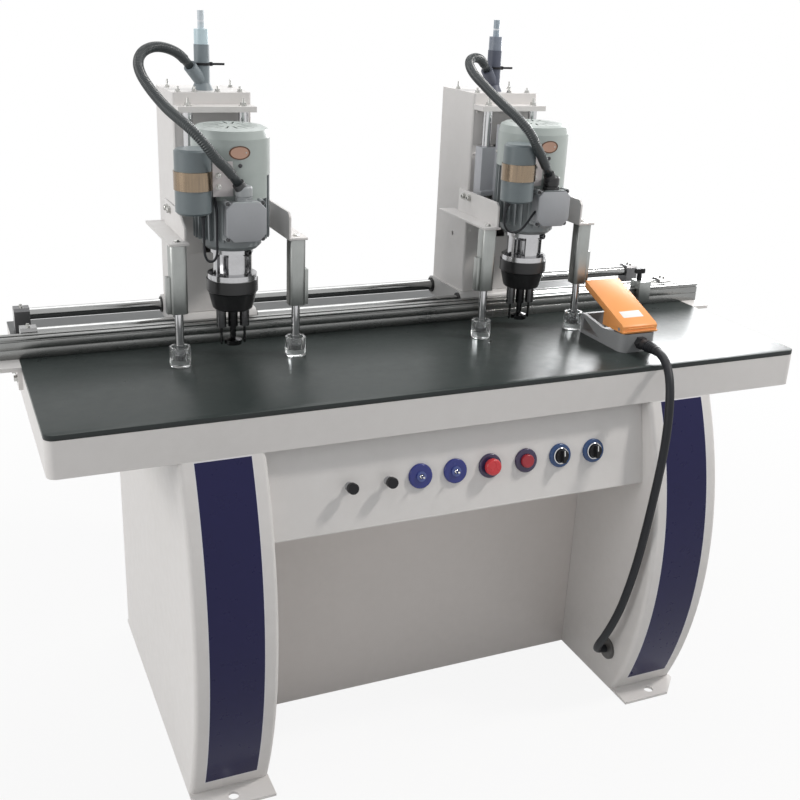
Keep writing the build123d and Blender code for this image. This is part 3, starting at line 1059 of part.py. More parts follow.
def hold_downs(side, x):
    """Two brackets on the lower bar, their air cylinders, and a piston rod with a clear foot in each."""
    brackets = []
    cylinders = []
    shelf_z = (CLAMP_TOP, CLAMP_TOP + WEB_THICKNESS)
    for name, way in (("near", -1), ("far", 1)):
        centre = x + way * CLAMP_X
        web_x = sorted((x + way * LOWER_BAR_HALF, x + way * (LOWER_BAR_HALF + WEB_THICKNESS)))
        front = CLAMP_Y - SHELF_AHEAD + WEB_SETBACK[side][name]
        cut_back, cut_down = WEB_CUT[side][name]
        web_top = CLAMP_TOP + WEB_HEIGHT
        bracket = plate_yz(web_x, [(front, CLAMP_TOP), (COLUMN_Y, CLAMP_TOP), (COLUMN_Y, web_top),
                                   (front + cut_back, web_top), (front, web_top - cut_down)])
        shelf_x = sorted((x + way * LOWER_BAR_HALF, x + way * SHELF_OUT))
        bracket += block(shelf_x, (CLAMP_Y - SHELF_AHEAD, COLUMN_Y + SHELF_BEHIND), shelf_z)
        brackets.append(bracket)
        half = CLAMP_BODY / 2
        body = block((centre - half, centre + half), (CLAMP_Y - half, CLAMP_Y + half), (CLAMP_LOW, CLAMP_TOP))
        body = fillet(body.edges().filter_by(Axis.Z), CLAMP_BODY_ROUND)
        port_x = sorted((centre + way * half, centre + way * (half + PORT_WIDTH)))
        port = block(port_x, (CLAMP_Y - half / 2, CLAMP_Y + half / 2), (CLAMP_LOW, CLAMP_LOW + PORT_HEIGHT))
        body += port
        body -= post(centre, CLAMP_Y, (CLAMP_LOW + CLAMP_GLAND, CLAMP_TOP - CLAMP_HEAD), CLAMP_BORE)
        body -= post(centre, CLAMP_Y, (CLAMP_LOW - 1, CLAMP_LOW + CLAMP_GLAND + 1), CLAMP_ROD + RUN_FIT)
        cylinders.append(body)
        foot_low = TABLE_HEIGHT + AIR_GAP
        cup = Plane((centre, CLAMP_Y, foot_low)) * RegularPolygon(FOOT_RADIUS, 8, rotation=22.5)
        foot = extrude(cup, amount=FOOT_HEIGHT)
        hollow_z = (foot_low + FOOT_FLOOR, foot_low + FOOT_HEIGHT + 1)
        foot -= post(centre, CLAMP_Y, hollow_z, FOOT_RADIUS - FOOT_WALL)
        piston_low = CLAMP_LOW + CLAMP_GLAND + 1
        rod = post(centre, CLAMP_Y, (foot_low + FOOT_FLOOR, piston_low), CLAMP_ROD)
        rod += post(centre, CLAMP_Y, (piston_low, piston_low + CLAMP_PISTON_HEIGHT), CLAMP_BORE - RUN_FIT)
        save(f"{side}_{name}_clamp", rod, foot)
    save(f"{side}_clamp_brackets", *brackets)
    save(f"{side}_clamp_cylinders", *cylinders)


def hose_post(side, x):
    """Rubber boot on the column with a branch for the motor hose, a collar and an inlet nipple on top."""
    y = POST_Y
    post_x = x + POST_X
    boot_top = COLUMN_TOP + BOOT_HEIGHT
    collar_top = boot_top + COLLAR_HEIGHT
    boot = turned(post_x, y, [(0, COLUMN_TOP), (BOOT_FOOT_RADIUS, COLUMN_TOP),
                              (BOOT_RADIUS, COLUMN_TOP + BOOT_FOOT_HEIGHT), (BOOT_RADIUS, boot_top),
                              (0, boot_top)])
    boot += spoke(branch_root(x), BRANCH_WAY, BRANCH_LENGTH, BRANCH_RADIUS)
    collar = post(post_x, y, (boot_top, collar_top), COLLAR_RADIUS)
    collar += post(post_x, y, (collar_top, collar_top + NIPPLE_HEIGHT), NIPPLE_RADIUS)
    save(f"{side}_hose_post", boot, collar)


def branch_root(x):
    return Vector(x + POST_X, POST_Y, COLUMN_TOP + BRANCH_UP)


def motor_hose(side, x):
    """Hose from the swivel gland on the motor, in a loop, to the branch of the hose post."""
    gland_top = MOTOR_LOW + BOX_ABOVE_MOTOR + 2 * BOX_HALF + GLAND_HEIGHT
    start = Vector(x, gland_axis_y(), gland_top) + GLAND_WAY * GLAND_NOZZLE_LENGTH
    end = branch_root(x) + BRANCH_WAY * BRANCH_LENGTH
    table = Vector(x, SPINDLE_Y, TABLE_HEIGHT)
    free = [table + Vector(*point) for point in HOSE_ROUTE[side]]
    lead = 3 * HOSE_RADIUS
    points = [start, start + GLAND_WAY * lead, *free, end + BRANCH_WAY * lead, end]
    save(f"{side}_motor_hose", ribbed_hose(f"{side} motor hose", points))


os.makedirs("parts", exist_ok=True)
legs()
cabinet()
control_panel()
table_frame()
table_top()
fence()
fence_stop()
guide_shafts()
switches()
actuators()
pedal_base()
pedal_treadle()
pedal_cable()
for head, head_x in HEAD_X.items():
    carriage(head, head_x)
    column(head, head_x)
    guide_frame(head, head_x)
    slide(head, head_x)
    spindles(head, head_x)
    gearbox(head, head_x)
    adapter(head, head_x)
    motor(head, head_x)
    terminal_box(head, head_x)
    capacitor(head, head_x)
    hold_downs(head, head_x)
    hose_post(head, head_x)
    motor_hose(head, head_x)
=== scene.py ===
import json
import math

import bmesh
import bpy
from mathutils import Matrix, Vector


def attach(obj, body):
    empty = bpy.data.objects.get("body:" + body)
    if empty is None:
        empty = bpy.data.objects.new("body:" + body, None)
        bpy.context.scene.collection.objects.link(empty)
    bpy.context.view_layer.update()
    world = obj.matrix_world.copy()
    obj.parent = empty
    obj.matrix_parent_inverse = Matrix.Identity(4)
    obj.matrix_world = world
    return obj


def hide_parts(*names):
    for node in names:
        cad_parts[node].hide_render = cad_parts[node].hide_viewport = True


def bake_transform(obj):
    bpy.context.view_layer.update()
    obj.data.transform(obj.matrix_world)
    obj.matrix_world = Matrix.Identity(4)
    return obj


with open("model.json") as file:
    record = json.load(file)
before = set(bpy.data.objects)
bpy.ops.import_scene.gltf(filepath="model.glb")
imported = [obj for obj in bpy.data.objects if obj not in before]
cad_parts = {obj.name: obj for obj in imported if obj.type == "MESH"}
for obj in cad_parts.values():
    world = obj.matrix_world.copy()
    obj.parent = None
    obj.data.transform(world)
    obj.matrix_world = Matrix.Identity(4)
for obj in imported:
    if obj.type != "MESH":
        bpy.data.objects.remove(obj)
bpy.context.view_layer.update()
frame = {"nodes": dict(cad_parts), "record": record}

nodes = frame["nodes"]

# Places that the pieces below share, in metres; on a head, x is counted from its spindle
HEADS = {"left": -0.390, "right": 0.2765}
LEG_X = {"left": -0.5, "right": 0.5}
FRONT_Y = -0.330
TABLE_TOP = 0.807
SPINDLE_Y = -0.002
COLUMN_Y = 0.130
COLUMN_TOP = 1.3115
SHAFT_Y = (0.136, 0.282)
SHAFT_Z = 0.840
ROD_X = 0.056
ROD_Y = COLUMN_Y - 0.026
CLAMP_X = 0.1187
CLAMP_Y = -0.0455
WEB_FACE_X = 0.103
BOX_MIDDLE = 1.1005
BOX_FRONT = -0.1035
BOX_SCREW_OFFSET = 0.0335
FLANGE_TOP = 0.9785
COVER_RADIUS = 0.075
COVER_SCREW_Z = 1.1995
GLAND_Y = -0.0925
GLAND_LOW = 1.1357
GLAND_Z = 1.1535
CAN_PLACE = {"left": (-0.0905, -0.074), "right": (-0.078, -0.086)}
CAN_BAND = (1.1583, 1.1927)
PLATE_X = {"left": -0.0435, "right": -0.0350}
PLATE_FRONT = -0.078
BADGE_X = -0.002
BADGE_Z = 1.223
BADGE_HALF = (0.0205, 0.0125)
POST_X = -0.006
POST_Y = 0.185
PEDAL_X = 0.444
PEDAL_Y = -0.237
TREADLE_SLOPE = math.atan2(0.059, 0.162)
CONTROL_TILT = math.radians(12.5)
CONTROL_ROW = Vector((0, -0.32317, 0.63094))
CONTROL_OUT = Vector((0, -math.cos(CONTROL_TILT), math.sin(CONTROL_TILT)))
TOGGLES = (-0.106, -0.030)
SELECTORS = {"left": 0.212, "right": 0.293}


# Camera, light and floor
def stand_camera():
    """The photograph's view: from the left front, a little above the heads."""
    lens = bpy.data.cameras.new("photo_view")
    lens.sensor_width = 36.0
    lens.lens = 48.18
    lens.clip_end = 60.0
    camera = bpy.data.objects.new("photo_view", lens)
    turn = Matrix.Rotation(math.radians(-24.455), 4, "Z")
    turn = turn @ Matrix.Rotation(math.radians(69.047), 4, "X")
    turn = turn @ Matrix.Rotation(math.radians(2.532), 4, "Z")
    camera.matrix_world = Matrix.Translation((-0.9366, -2.0389, 1.5176)) @ turn
    bpy.context.scene.collection.objects.link(camera)
    bpy.context.scene.camera = camera


def soft_box(name, place, target, size, watts, colour, only_mirrored=False):
    """A square lamp at a place, turned to a target; it can be made to show in reflections alone."""
    lamp = bpy.data.lights.new(name, "AREA")
    lamp.shape = "SQUARE"
    lamp.size = size
    lamp.energy = watts
    lamp.color = colour
    stand = bpy.data.objects.new(name, lamp)
    way = Vector(target) - Vector(place)
    stand.matrix_world = Matrix.Translation(place) @ way.to_track_quat("-Z", "Y").to_matrix().to_4x4()
    stand.visible_diffuse = not only_mirrored
    bpy.context.scene.collection.objects.link(stand)


def seen_by_eye(tree):
    """1 on rays that the camera sees, straight, mirrored or through glass."""
    path = tree.nodes.new("ShaderNodeLightPath")
    mirrored = node_math(tree, "MAXIMUM", path.outputs["Is Camera Ray"], path.outputs["Is Glossy Ray"])
    return node_math(tree, "MAXIMUM", mirrored, path.outputs["Is Transmission Ray"])


def white_room():
    """White for the eye and in reflections, with a plain level of light on the object."""
    world = bpy.data.worlds.new("white_room")
    bpy.context.scene.world = world
    world.use_nodes = True
    tree = world.node_tree
    tree.nodes.clear()
    light = tree.nodes.new("ShaderNodeBackground")
    light.inputs["Color"].default_value = (0.96, 0.98, 1.0, 1)
    light.inputs["Strength"].default_value = 0.46
    white = tree.nodes.new("ShaderNodeBackground")
    white.inputs["Color"].default_value = (1, 1, 1, 1)
    white.inputs["Strength"].default_value = 1.0
    out = tree.nodes.new("ShaderNodeOutputWorld")
    mix_shaders(tree, seen_by_eye(tree), light, white, out)


def floor_finish():
    """Pale floor that keeps the shadow near the object and fades to white further out."""
    pale, tree, surface = bare_material("pale_floor")
    surface.inputs["Base Color"].default_value = (0.62, 0.615, 0.61, 1)
    surface.inputs["Roughness"].default_value = 0.9
    glow = tree.nodes.new("ShaderNodeEmission")
    x, y = object_axes(tree, "XY")
    fade = tree.nodes.new("ShaderNodeMapRange")
    fade.interpolation_type = "SMOOTHSTEP"
    for label, value in (("From Min", 0.9), ("From Max", 2.6), ("To Min", 0.90), ("To Max", 1.0)):
        fade.inputs[label].default_value = value
    tree.links.new(axis_distance(tree, x, y, 0.0, 0.0), fade.inputs["Value"])
    share = node_math(tree, "MULTIPLY", fade.outputs["Result"], seen_by_eye(tree))
    mix_shaders(tree, share, surface, glow, tree.nodes["Material Output"])
    return pale


def studio():
    """White room, a small lamp at the right front, soft ones left and above, a glare behind, the floor."""
    white_room()
    soft_box("front_lamp", (2.15, -0.95, 3.25), (0.0, -0.2, 0.7), 0.35, 64, (1.0, 0.97, 0.94))
    soft_box("side_lamp", (-6.0, -0.5, 2.6), (-0.2, 0.0, 0.9), 3.4, 150, (1.0, 0.985, 0.97))
    soft_box("top_lamp", (0.4, 1.8, 3.6), (0.0, 0.0, 0.85), 2.6, 48, (1.0, 1.0, 1.0))
    soft_box("back_lamp", (2.65, 2.2, 1.65), (0.5, -0.1, 0.8), 1.3, 62, (0.98, 0.99, 1.0),
             only_mirrored=True)
    bm = bmesh.new()
    bmesh.ops.create_grid(bm, x_segments=1, y_segments=1, size=14.0)
    bmesh.ops.translate(bm, verts=bm.verts, vec=(0, 0, -0.0004))
    mesh = bpy.data.meshes.new("floor")
    bm.to_mesh(mesh)
    bm.free()
    mesh.materials.append(floor_finish())
    floor = bpy.data.objects.new("floor", mesh)
    bpy.context.scene.collection.objects.link(floor)


# Shader helpers
def feed(tree, socket, value):
    """Sets a socket to a number or a colour, or links another socket to it."""
    if isinstance(value, (int, float)):
        socket.default_value = value
    elif isinstance(value, tuple):
        socket.default_value = (*value, 1)
    else:
        tree.links.new(value, socket)


def node_math(tree, operation, *values):
    """A math node on sockets or numbers; gives its result."""
    node = tree.nodes.new("ShaderNodeMath")
    node.operation = operation
    for socket, value in zip(node.inputs, values):
        feed(tree, socket, value)
    return node.outputs[0]


def mix_node(tree, kind, share, first, second):
    """The first or the second value by a share."""
    node = tree.nodes.new("ShaderNodeMix")
    node.data_type = kind
    for label, value in (("Factor", share), ("A", first), ("B", second)):
        feed(tree, node.inputs[label], value)
    return node.outputs["Result"]


def mixed(tree, share, first, second):
    """Colour one or two by a share; colours are tuples or sockets."""
    return mix_node(tree, "RGBA", share, first, second)


def mixed_value(tree, share, first, second):
    """A number between two by a share; numbers may be sockets."""
    return mix_node(tree, "FLOAT", share, first, second)


def layered(tree, base, *layers):
    """A colour with others laid over it in turn, each by its share."""
    for share, colour in layers:
        base = mixed(tree, share, base, colour)
    return base


def over(tree, value, limit):
    """1 where a value lies over a limit, else 0."""
    return node_math(tree, "GREATER_THAN", value, limit)


def under(tree, value, limit):
    """1 where a value lies under a limit, else 0."""
    return node_math(tree, "LESS_THAN", value, limit)


def both(tree, *masks):
    """1 where all masks are 1."""
    result = masks[0]
    for mask in masks[1:]:
        result = node_math(tree, "MULTIPLY", result, mask)
    return result


def between(tree, value, low, high):
    """1 where a value lies between two limits, else 0."""
    return both(tree, over(tree, value, low), under(tree, value, high))


def axis_distance(tree, first, second, at_first, at_second):
    """Distance from a straight axis, in the plane of two coordinates."""
    a = node_math(tree, "SUBTRACT", first, at_first)
    b = node_math(tree, "SUBTRACT", second, at_second)
    squares = node_math(tree, "ADD", node_math(tree, "MULTIPLY", a, a), node_math(tree, "MULTIPLY", b, b))
    return node_math(tree, "SQRT", squares)


def finish_group(name, vectors, colours, numbers):
    """A group with named inputs that puts out colour, roughness and height; gives it and its end nodes."""
    group = bpy.data.node_groups.new(name, "ShaderNodeTree")
    inputs = {"NodeSocketVector": vectors, "NodeSocketColor": colours, "NodeSocketFloat": numbers}
    outputs = {"NodeSocketColor": ["Color"], "NodeSocketFloat": ["Roughness", "Height"]}
    for way, sockets in (("INPUT", inputs), ("OUTPUT", outputs)):
        for kind, labels in sockets.items():
            for label in labels:
                group.interface.new_socket(name=label, in_out=way, socket_type=kind)
    return group, group.nodes.new("NodeGroupInput"), group.nodes.new("NodeGroupOutput")


def noise(tree, place, scale, detail, rough=0.5):
    """A noise value on a coordinate, at a scale per metre."""
    node = tree.nodes.new("ShaderNodeTexNoise")
    node.inputs["Detail"].default_value = detail
    node.inputs["Roughness"].default_value = rough
    feed(tree, node.inputs["Scale"], scale)
    tree.links.new(place, node.inputs["Vector"])
    return node.outputs["Fac"]


def object_place(tree):
    """The object coordinates as one vector."""
    return tree.nodes.new("ShaderNodeTexCoord").outputs["Object"]


def object_axes(tree, axes):
    """The object coordinates along the axes that are named."""
    split = tree.nodes.new("ShaderNodeSeparateXYZ")
    tree.links.new(object_place(tree), split.inputs[0])
    return [split.outputs[axis] for axis in axes]


def stretched(tree, factors):
    """Object coordinates, stretched along the axes."""
    mapping = tree.nodes.new("ShaderNodeMapping")
    mapping.inputs["Scale"].default_value = factors
    tree.links.new(object_place(tree), mapping.inputs["Vector"])
    return mapping.outputs["Vector"]


def swing(tree, value, size):
    """A value from 0 to 1 made to swing round zero."""
    return node_math(tree, "MULTIPLY", node_math(tree, "SUBTRACT", value, 0.5), size)


def make_coat_group():
    """Sprayed paint and moulded plastic: slow colour drift, dust, and a fine peel."""
    group, inside, outside = finish_group("sprayed_coat", ["Vector"], ["Color", "Dust"],
                                          ["Amount", "Roughness", "Peel"])
    place = inside.outputs["Vector"]
    drift = noise(group, place, 3.5, 3.0)
    spots = noise(group, place, 38.0, 5.0, 0.65)
    peel = noise(group, place, inside.outputs["Peel"], 2.0)
    cloud = node_math(group, "MULTIPLY", drift, spots)
    cloud = node_math(group, "MULTIPLY", node_math(group, "SUBTRACT", cloud, 0.12), 2.6)
    cloud = node_math(group, "MINIMUM", node_math(group, "MAXIMUM", cloud, 0.0), 1.0)
    share = node_math(group, "MULTIPLY", cloud, inside.outputs["Amount"])
    colour = mixed(group, share, inside.outputs["Color"], inside.outputs["Dust"])
    group.links.new(colour, outside.inputs["Color"])
    rough = node_math(group, "ADD", inside.outputs["Roughness"], swing(group, spots, 0.22))
    group.links.new(rough, outside.inputs["Roughness"])
    group.links.new(peel, outside.inputs["Height"])
    return group


def make_metal_group():
    """Machined or drawn metal: streaks along one way, handling marks and a dulled haze."""
    group, inside, outside = finish_group("worked_metal", ["Vector", "Streaks"], ["Color", "Haze"],
                                          ["Roughness"])
    streak = noise(group, inside.outputs["Streaks"], 90.0, 3.0, 0.6)
    marks = noise(group, inside.outputs["Vector"], 26.0, 4.0, 0.6)
    share = node_math(group, "MULTIPLY", node_math(group, "MULTIPLY", streak, marks), 1.1)
    colour = mixed(group, share, inside.outputs["Color"], inside.outputs["Haze"])
    group.links.new(colour, outside.inputs["Color"])
    uneven = node_math(group, "ADD", swing(group, streak, 0.3), swing(group, marks, 0.2))
    rough = node_math(group, "ADD", inside.outputs["Roughness"], uneven)
    group.links.new(node_math(group, "MAXIMUM", rough, 0.04), outside.inputs["Roughness"])
    group.links.new(streak, outside.inputs["Height"])
    return group


def mix_shaders(tree, share, first, second, out):
    """Shows the first or the second shader by a share."""
    mix = tree.nodes.new("ShaderNodeMixShader")
    for socket, value in zip(mix.inputs, (share, first.outputs[0], second.outputs[0])):
        tree.links.new(value, socket)
    tree.links.new(mix.outputs[0], out.inputs["Surface"])


def bare_material(name, gloss=0.5, metallic=0.0):
    """A new node material; gives it with its tree and its Principled node."""
    material = bpy.data.materials.new(name)
    material.use_nodes = True
    surface = material.node_tree.nodes["Principled BSDF"]
    surface.inputs["Specular IOR Level"].default_value = gloss
    surface.inputs["Metallic"].default_value = metallic
    return material, material.node_tree, surface


def lay_on(tree, surface, group, values, strength, distance):
    """Puts a finish group with its values on a material's shader, its relief as a bump."""
    node = tree.nodes.new("ShaderNodeGroup")
    node.node_tree = group
    for label, value in values.items():
        feed(tree, node.inputs[label], value)
    bump = tree.nodes.new("ShaderNodeBump")
    bump.inputs["Strength"].default_value = strength
    bump.inputs["Distance"].default_value = distance
    tree.links.new(node.outputs["Height"], bump.inputs["Height"])
    tree.links.new(node.outputs["Color"], surface.inputs["Base Color"])
    tree.links.new(node.outputs["Roughness"], surface.inputs["Roughness"])
    tree.links.new(bump.outputs["Normal"], surface.inputs["Normal"])


def coat(tree, surface, colour, dust, amount, roughness, peel=220.0, depth=0.02):
    """Puts the sprayed coat on a material's shader; colour may be a socket, as may roughness."""
    values = {"Vector": object_place(tree), "Color": colour, "Dust": dust, "Amount": amount,
              "Roughness": roughness, "Peel": peel}
    lay_on(tree, surface, COAT, values, depth, 0.001)


def metal(tree, surface, colour, haze, roughness, streaks, depth=0.04):
    """Puts worked metal on a material's shader; streaks give the stretch of its grain along x, y and z."""
    values = {"Vector": object_place(tree), "Streaks": stretched(tree, streaks), "Color": colour,
              "Haze": haze, "Roughness": roughness}
    lay_on(tree, surface, METAL, values, depth, 0.0005)


COAT = make_coat_group()
METAL = make_metal_group()


# Materials of single finishes
def coated(name, colour, dust, amount, roughness, peel=220.0, depth=0.02, gloss=0.5):
    """A material of one sprayed coat."""
    material, tree, surface = bare_material(name, gloss)
    coat(tree, surface, colour, dust, amount, roughness, peel, depth)
    return material


def worked(name, colour, haze, roughness, streaks, depth=0.04):
    """A material of one worked metal."""
    material, tree, surface = bare_material(name, metallic=1.0)
    metal(tree, surface, colour, haze, roughness, streaks, depth)
    return material


def clear_acrylic():
    """Clear acrylic with rubbed faces."""
    material, tree, surface = bare_material("clear_acrylic")
    surface.inputs["Transmission Weight"].default_value = 0.95
    surface.inputs["IOR"].default_value = 1.49
    coat(tree, surface, (0.96, 0.98, 0.98), (0.88, 0.90, 0.90), 0.3, 0.09, 260.0, 0.02)
    return material


CREAM = (0.73, 0.71, 0.695)
CREAM_DUST = (0.56, 0.54, 0.51)
NAVY = (0.011, 0.011, 0.055)
BLACK = (0.014, 0.014, 0.016)
COVER_GREEN = (0.43, 0.475, 0.455)
COVER_DUST = (0.33, 0.37, 0.355)
BOX_GREY = (0.37, 0.38, 0.40)
CHROME = (0.62, 0.62, 0.63)

cream_paint = coated("cream_paint", CREAM, CREAM_DUST, 0.24, 0.42)
# Cabinet panels: a darker, warmer copy of the cream paint, painted shade for the recessed panels under the
# table
shaded_panel_paint = coated("shaded_panel_paint", (0.70, 0.66, 0.635), (0.54, 0.51, 0.475), 0.24, 0.42)
black_plastic = coated("black_plastic", BLACK, (0.03, 0.03, 0.03), 0.4, 0.45, 400.0, 0.05, 0.2)
black_rubber = coated("black_rubber", (0.013, 0.014, 0.017), (0.035, 0.037, 0.042), 0.4, 0.5, 500.0, 0.08,
                      0.25)
black_case = coated("black_case", (0.012, 0.012, 0.013), (0.04, 0.04, 0.04), 0.35, 0.34, 300.0, 0.05)
red_plastic = coated("red_plastic", (0.60, 0.030, 0.040), (0.45, 0.05, 0.05), 0.3, 0.28, 300.0)
dark_red_plastic = coated("dark_red_plastic", (0.36, 0.018, 0.030), (0.25, 0.03, 0.04), 0.3, 0.3, 300.0)
white_plastic = coated("white_plastic", (0.8, 0.8, 0.78), (0.6, 0.6, 0.58), 0.25, 0.4)
orange_plastic = coated("orange_plastic", (0.86, 0.36, 0.115), (0.72, 0.29, 0.09), 0.35, 0.40, 260.0, 0.06,
                        0.3)
cover_green = coated("cover_green", COVER_GREEN, COVER_DUST, 0.4, 0.36, 160.0, 0.1)
ear_grey = coated("ear_grey", (0.36, 0.38, 0.39), (0.26, 0.27, 0.28), 0.4, 0.4, 160.0, 0.08)
# Slide grey darkened to stand in for the shade on the bearing blocks' fronts: painted shade
shaded_slide_paint = coated("shaded_slide_paint", (0.47, 0.48, 0.51), (0.34, 0.35, 0.37), 0.35, 0.38)
hose_rubber = coated("hose_rubber", (0.032, 0.039, 0.041), (0.075, 0.083, 0.086), 0.35, 0.31, 500.0, 0.08)
rail_aluminium = worked("rail_aluminium", (0.30, 0.305, 0.30), (0.17, 0.17, 0.165), 0.30, (1, 30, 30))
cylinder_aluminium = worked("cylinder_aluminium", (0.38, 0.395, 0.385), (0.26, 0.27, 0.26), 0.38,
                            (30, 30, 1))
turned_steel = worked("turned_steel", (0.55, 0.55, 0.56), (0.28, 0.28, 0.29), 0.2, (2, 2, 60))
dark_steel = worked("dark_steel", (0.10, 0.10, 0.105), (0.05, 0.05, 0.05), 0.36, (3, 3, 40))
chrome_rod = worked("chrome_rod", CHROME, (0.44, 0.44, 0.45), 0.1, (2, 2, 40), 0.02)
screw_zinc = worked("screw_zinc", (0.55, 0.55, 0.53), (0.30, 0.30, 0.29), 0.28, (40, 40, 40))
clear_foot = clear_acrylic()


# Materials of several finishes, told apart by their place on the node
def table_laminate():
    """Dark laminate: a fine speckle, a soft cloudy sheen and faint rub marks along the table."""
    material, tree, surface = bare_material("table_laminate", 0.16)
    (z,) = object_axes(tree, "Z")
    place = object_place(tree)
    speckle = noise(tree, place, 900.0, 2.0)
    cloud = noise(tree, place, 5.0, 4.0, 0.6)
    rubs = node_math(tree, "MULTIPLY", noise(tree, stretched(tree, (2, 60, 1)), 8.0, 3.0), 0.10)
    edge = under(tree, z, TABLE_TOP - 0.0012)
    dark = mixed(tree, speckle, (0.016, 0.023, 0.022), (0.034, 0.043, 0.041))
    colour = layered(tree, dark, (rubs, (0.07, 0.078, 0.075)), (edge, (0.035, 0.04, 0.04)))
    roughness = mixed_value(tree, cloud, 0.26, 0.40)
    coat(tree, surface, colour, (0.06, 0.066, 0.064), 0.12, roughness, 700.0, 0.05)
    return material


def striped_leg(side):
    """Cream leg with a plain dark band down its bulging front, and the black bush of the right leg."""
    material, tree, surface = bare_material(f"{side}_leg_paint", 0.2)
    x, y, z = object_axes(tree, "XYZ")
    across = node_math(tree, "ABSOLUTE", node_math(tree, "SUBTRACT", x, LEG_X[side]))
    front = under(tree, y, FRONT_Y - 0.0005)
    band = both(tree, front, between(tree, z, 0.040, 0.7245), under(tree, across, 0.0525))
    rim = both(tree, front, between(tree, z, 0.0385, 0.726), under(tree, across, 0.0538))
    navy = mixed(tree, noise(tree, object_place(tree), 4.0, 2.0), NAVY, (0.016, 0.015, 0.070))
    colour = layered(tree, CREAM, (rim, (0.74, 0.74, 0.80)), (band, navy))
    dust = mixed(tree, band, CREAM_DUST, (0.022, 0.021, 0.075))
    if side == "right":
        colour = mixed(tree, under(tree, x, 0.4188), colour, BLACK)
    coat(tree, surface, colour, dust, 0.24, mixed_value(tree, band, 0.42, 0.30))
    return material


def frame_paint():
    """Cream table frame with a dark bed under the guide shafts."""
    material, tree, surface = bare_material("frame_paint", 0.2)
    y, z = object_axes(tree, "YZ")
    bed = both(tree, over(tree, z, 0.7972), over(tree, y, 0.1139))
    colour = mixed(tree, bed, CREAM, (0.085, 0.09, 0.09))
    dust = mixed(tree, bed, CREAM_DUST, (0.14, 0.14, 0.14))
    coat(tree, surface, colour, dust, 0.24, mixed_value(tree, bed, 0.42, 0.34))
    return material


def shaft_steel():
    """Ground shafts with bare end blocks, the rear ones dark."""
    material, tree, surface = bare_material("shaft_steel", metallic=1.0)
    x, y, z = object_axes(tree, "XYZ")
    far = over(tree, node_math(tree, "ABSOLUTE", x), 0.7575)
    front, rear = [axis_distance(tree, y, z, shaft_y, SHAFT_Z) for shaft_y in SHAFT_Y]
    block = both(tree, far, over(tree, node_math(tree, "MINIMUM", front, rear), 0.01265))
    dark = both(tree, block, over(tree, y, 0.21))
    colour = mixed(tree, block, (0.42, 0.425, 0.42), (0.36, 0.36, 0.36))
    colour = mixed(tree, dark, colour, (0.20, 0.20, 0.205))
    haze = mixed(tree, dark, (0.17, 0.17, 0.17), (0.11, 0.11, 0.11))
    metal(tree, surface, colour, haze, mixed_value(tree, block, 0.16, 0.42), (1, 40, 40), 0.02)
    return material


def carriage_metal(side, head_x):
    """Painted carriage with black seals on its bushes."""
    material, tree, surface = bare_material(f"{side}_carriage_metal")
    (x,) = object_axes(tree, "X")
    reach = node_math(tree, "ABSOLUTE", node_math(tree, "SUBTRACT", x, head_x))
    seal = over(tree, reach, 0.08615)
    colour = mixed(tree, seal, (0.62, 0.61, 0.60), (0.012, 0.012, 0.012))
    dust = mixed(tree, seal, (0.44, 0.43, 0.42), (0.03, 0.03, 0.03))
    coat(tree, surface, colour, dust, 0.35, mixed_value(tree, seal, 0.40, 0.55), 200.0, 0.05)
    return material


def guide_finish(side, head_x):
    """Chrome rods between painted bars, and a grey feed cylinder."""
    material, tree, surface = bare_material(f"{side}_guide_finish")
    x, y = object_axes(tree, "XY")
    near, far = [axis_distance(tree, x, y, head_x + way * ROD_X, ROD_Y) for way in (-1, 1)]
    rod = under(tree, node_math(tree, "MINIMUM", near, far), 0.01004)
    inside = over(tree, y, COLUMN_Y + 0.001)
    colour = layered(tree, CREAM, (rod, CHROME), (inside, (0.42, 0.43, 0.44)))
    dust = mixed(tree, node_math(tree, "MAXIMUM", rod, inside), CREAM_DUST, (0.36, 0.36, 0.37))
    coat(tree, surface, colour, dust, 0.3, mixed_value(tree, rod, 0.38, 0.12))
    tree.links.new(rod, surface.inputs["Metallic"])
    return material


def motor_finish(side, head_x):
    """Dull grey ribs, with the cover's paler paint on the rim and the saddle above the terminal box."""
    material, tree, surface = bare_material(f"{side}_motor_finish")
    x, y, z = object_axes(tree, "XYZ")
    out = axis_distance(tree, x, y, head_x, SPINDLE_Y)
    pale = both(tree, over(tree, out, 0.0743), over(tree, z, 1.1330))
    colour = mixed(tree, pale, (0.27, 0.295, 0.305), COVER_GREEN)
    dust = mixed(tree, pale, (0.17, 0.185, 0.19), COVER_DUST)
    coat(tree, surface, colour, dust, 0.5, 0.42, 160.0, 0.12)
    return material


def capacitor_finish(side, head_x):
    """Slate grey can, brass band and painted clamp plate."""
    material, tree, surface = bare_material(f"{side}_capacitor_finish")
    x, y, z = object_axes(tree, "XYZ")
    can_x, can_y = CAN_PLACE[side]
    out = axis_distance(tree, x, y, head_x + can_x, can_y)
    band = both(tree, between(tree, z, *CAN_BAND), between(tree, out, 0.03395, 0.03606))
    plate = over(tree, out, 0.03606)
    streak = noise(tree, stretched(tree, (60, 60, 3)), 6.0, 3.0)
    brass = mixed(tree, streak, (0.38, 0.29, 0.20), (0.18, 0.145, 0.115))
    colour = layered(tree, (0.155, 0.185, 0.195), (band, brass), (plate, (0.70, 0.66, 0.66)))
    dust = layered(tree, (0.11, 0.13, 0.14), (band, (0.20, 0.15, 0.10)), (plate, (0.50, 0.47, 0.47)))
    coat(tree, surface, colour, dust, 0.4, mixed_value(tree, band, 0.34, 0.26), 160.0, 0.05)
    tree.links.new(band, surface.inputs["Metallic"])
    return material


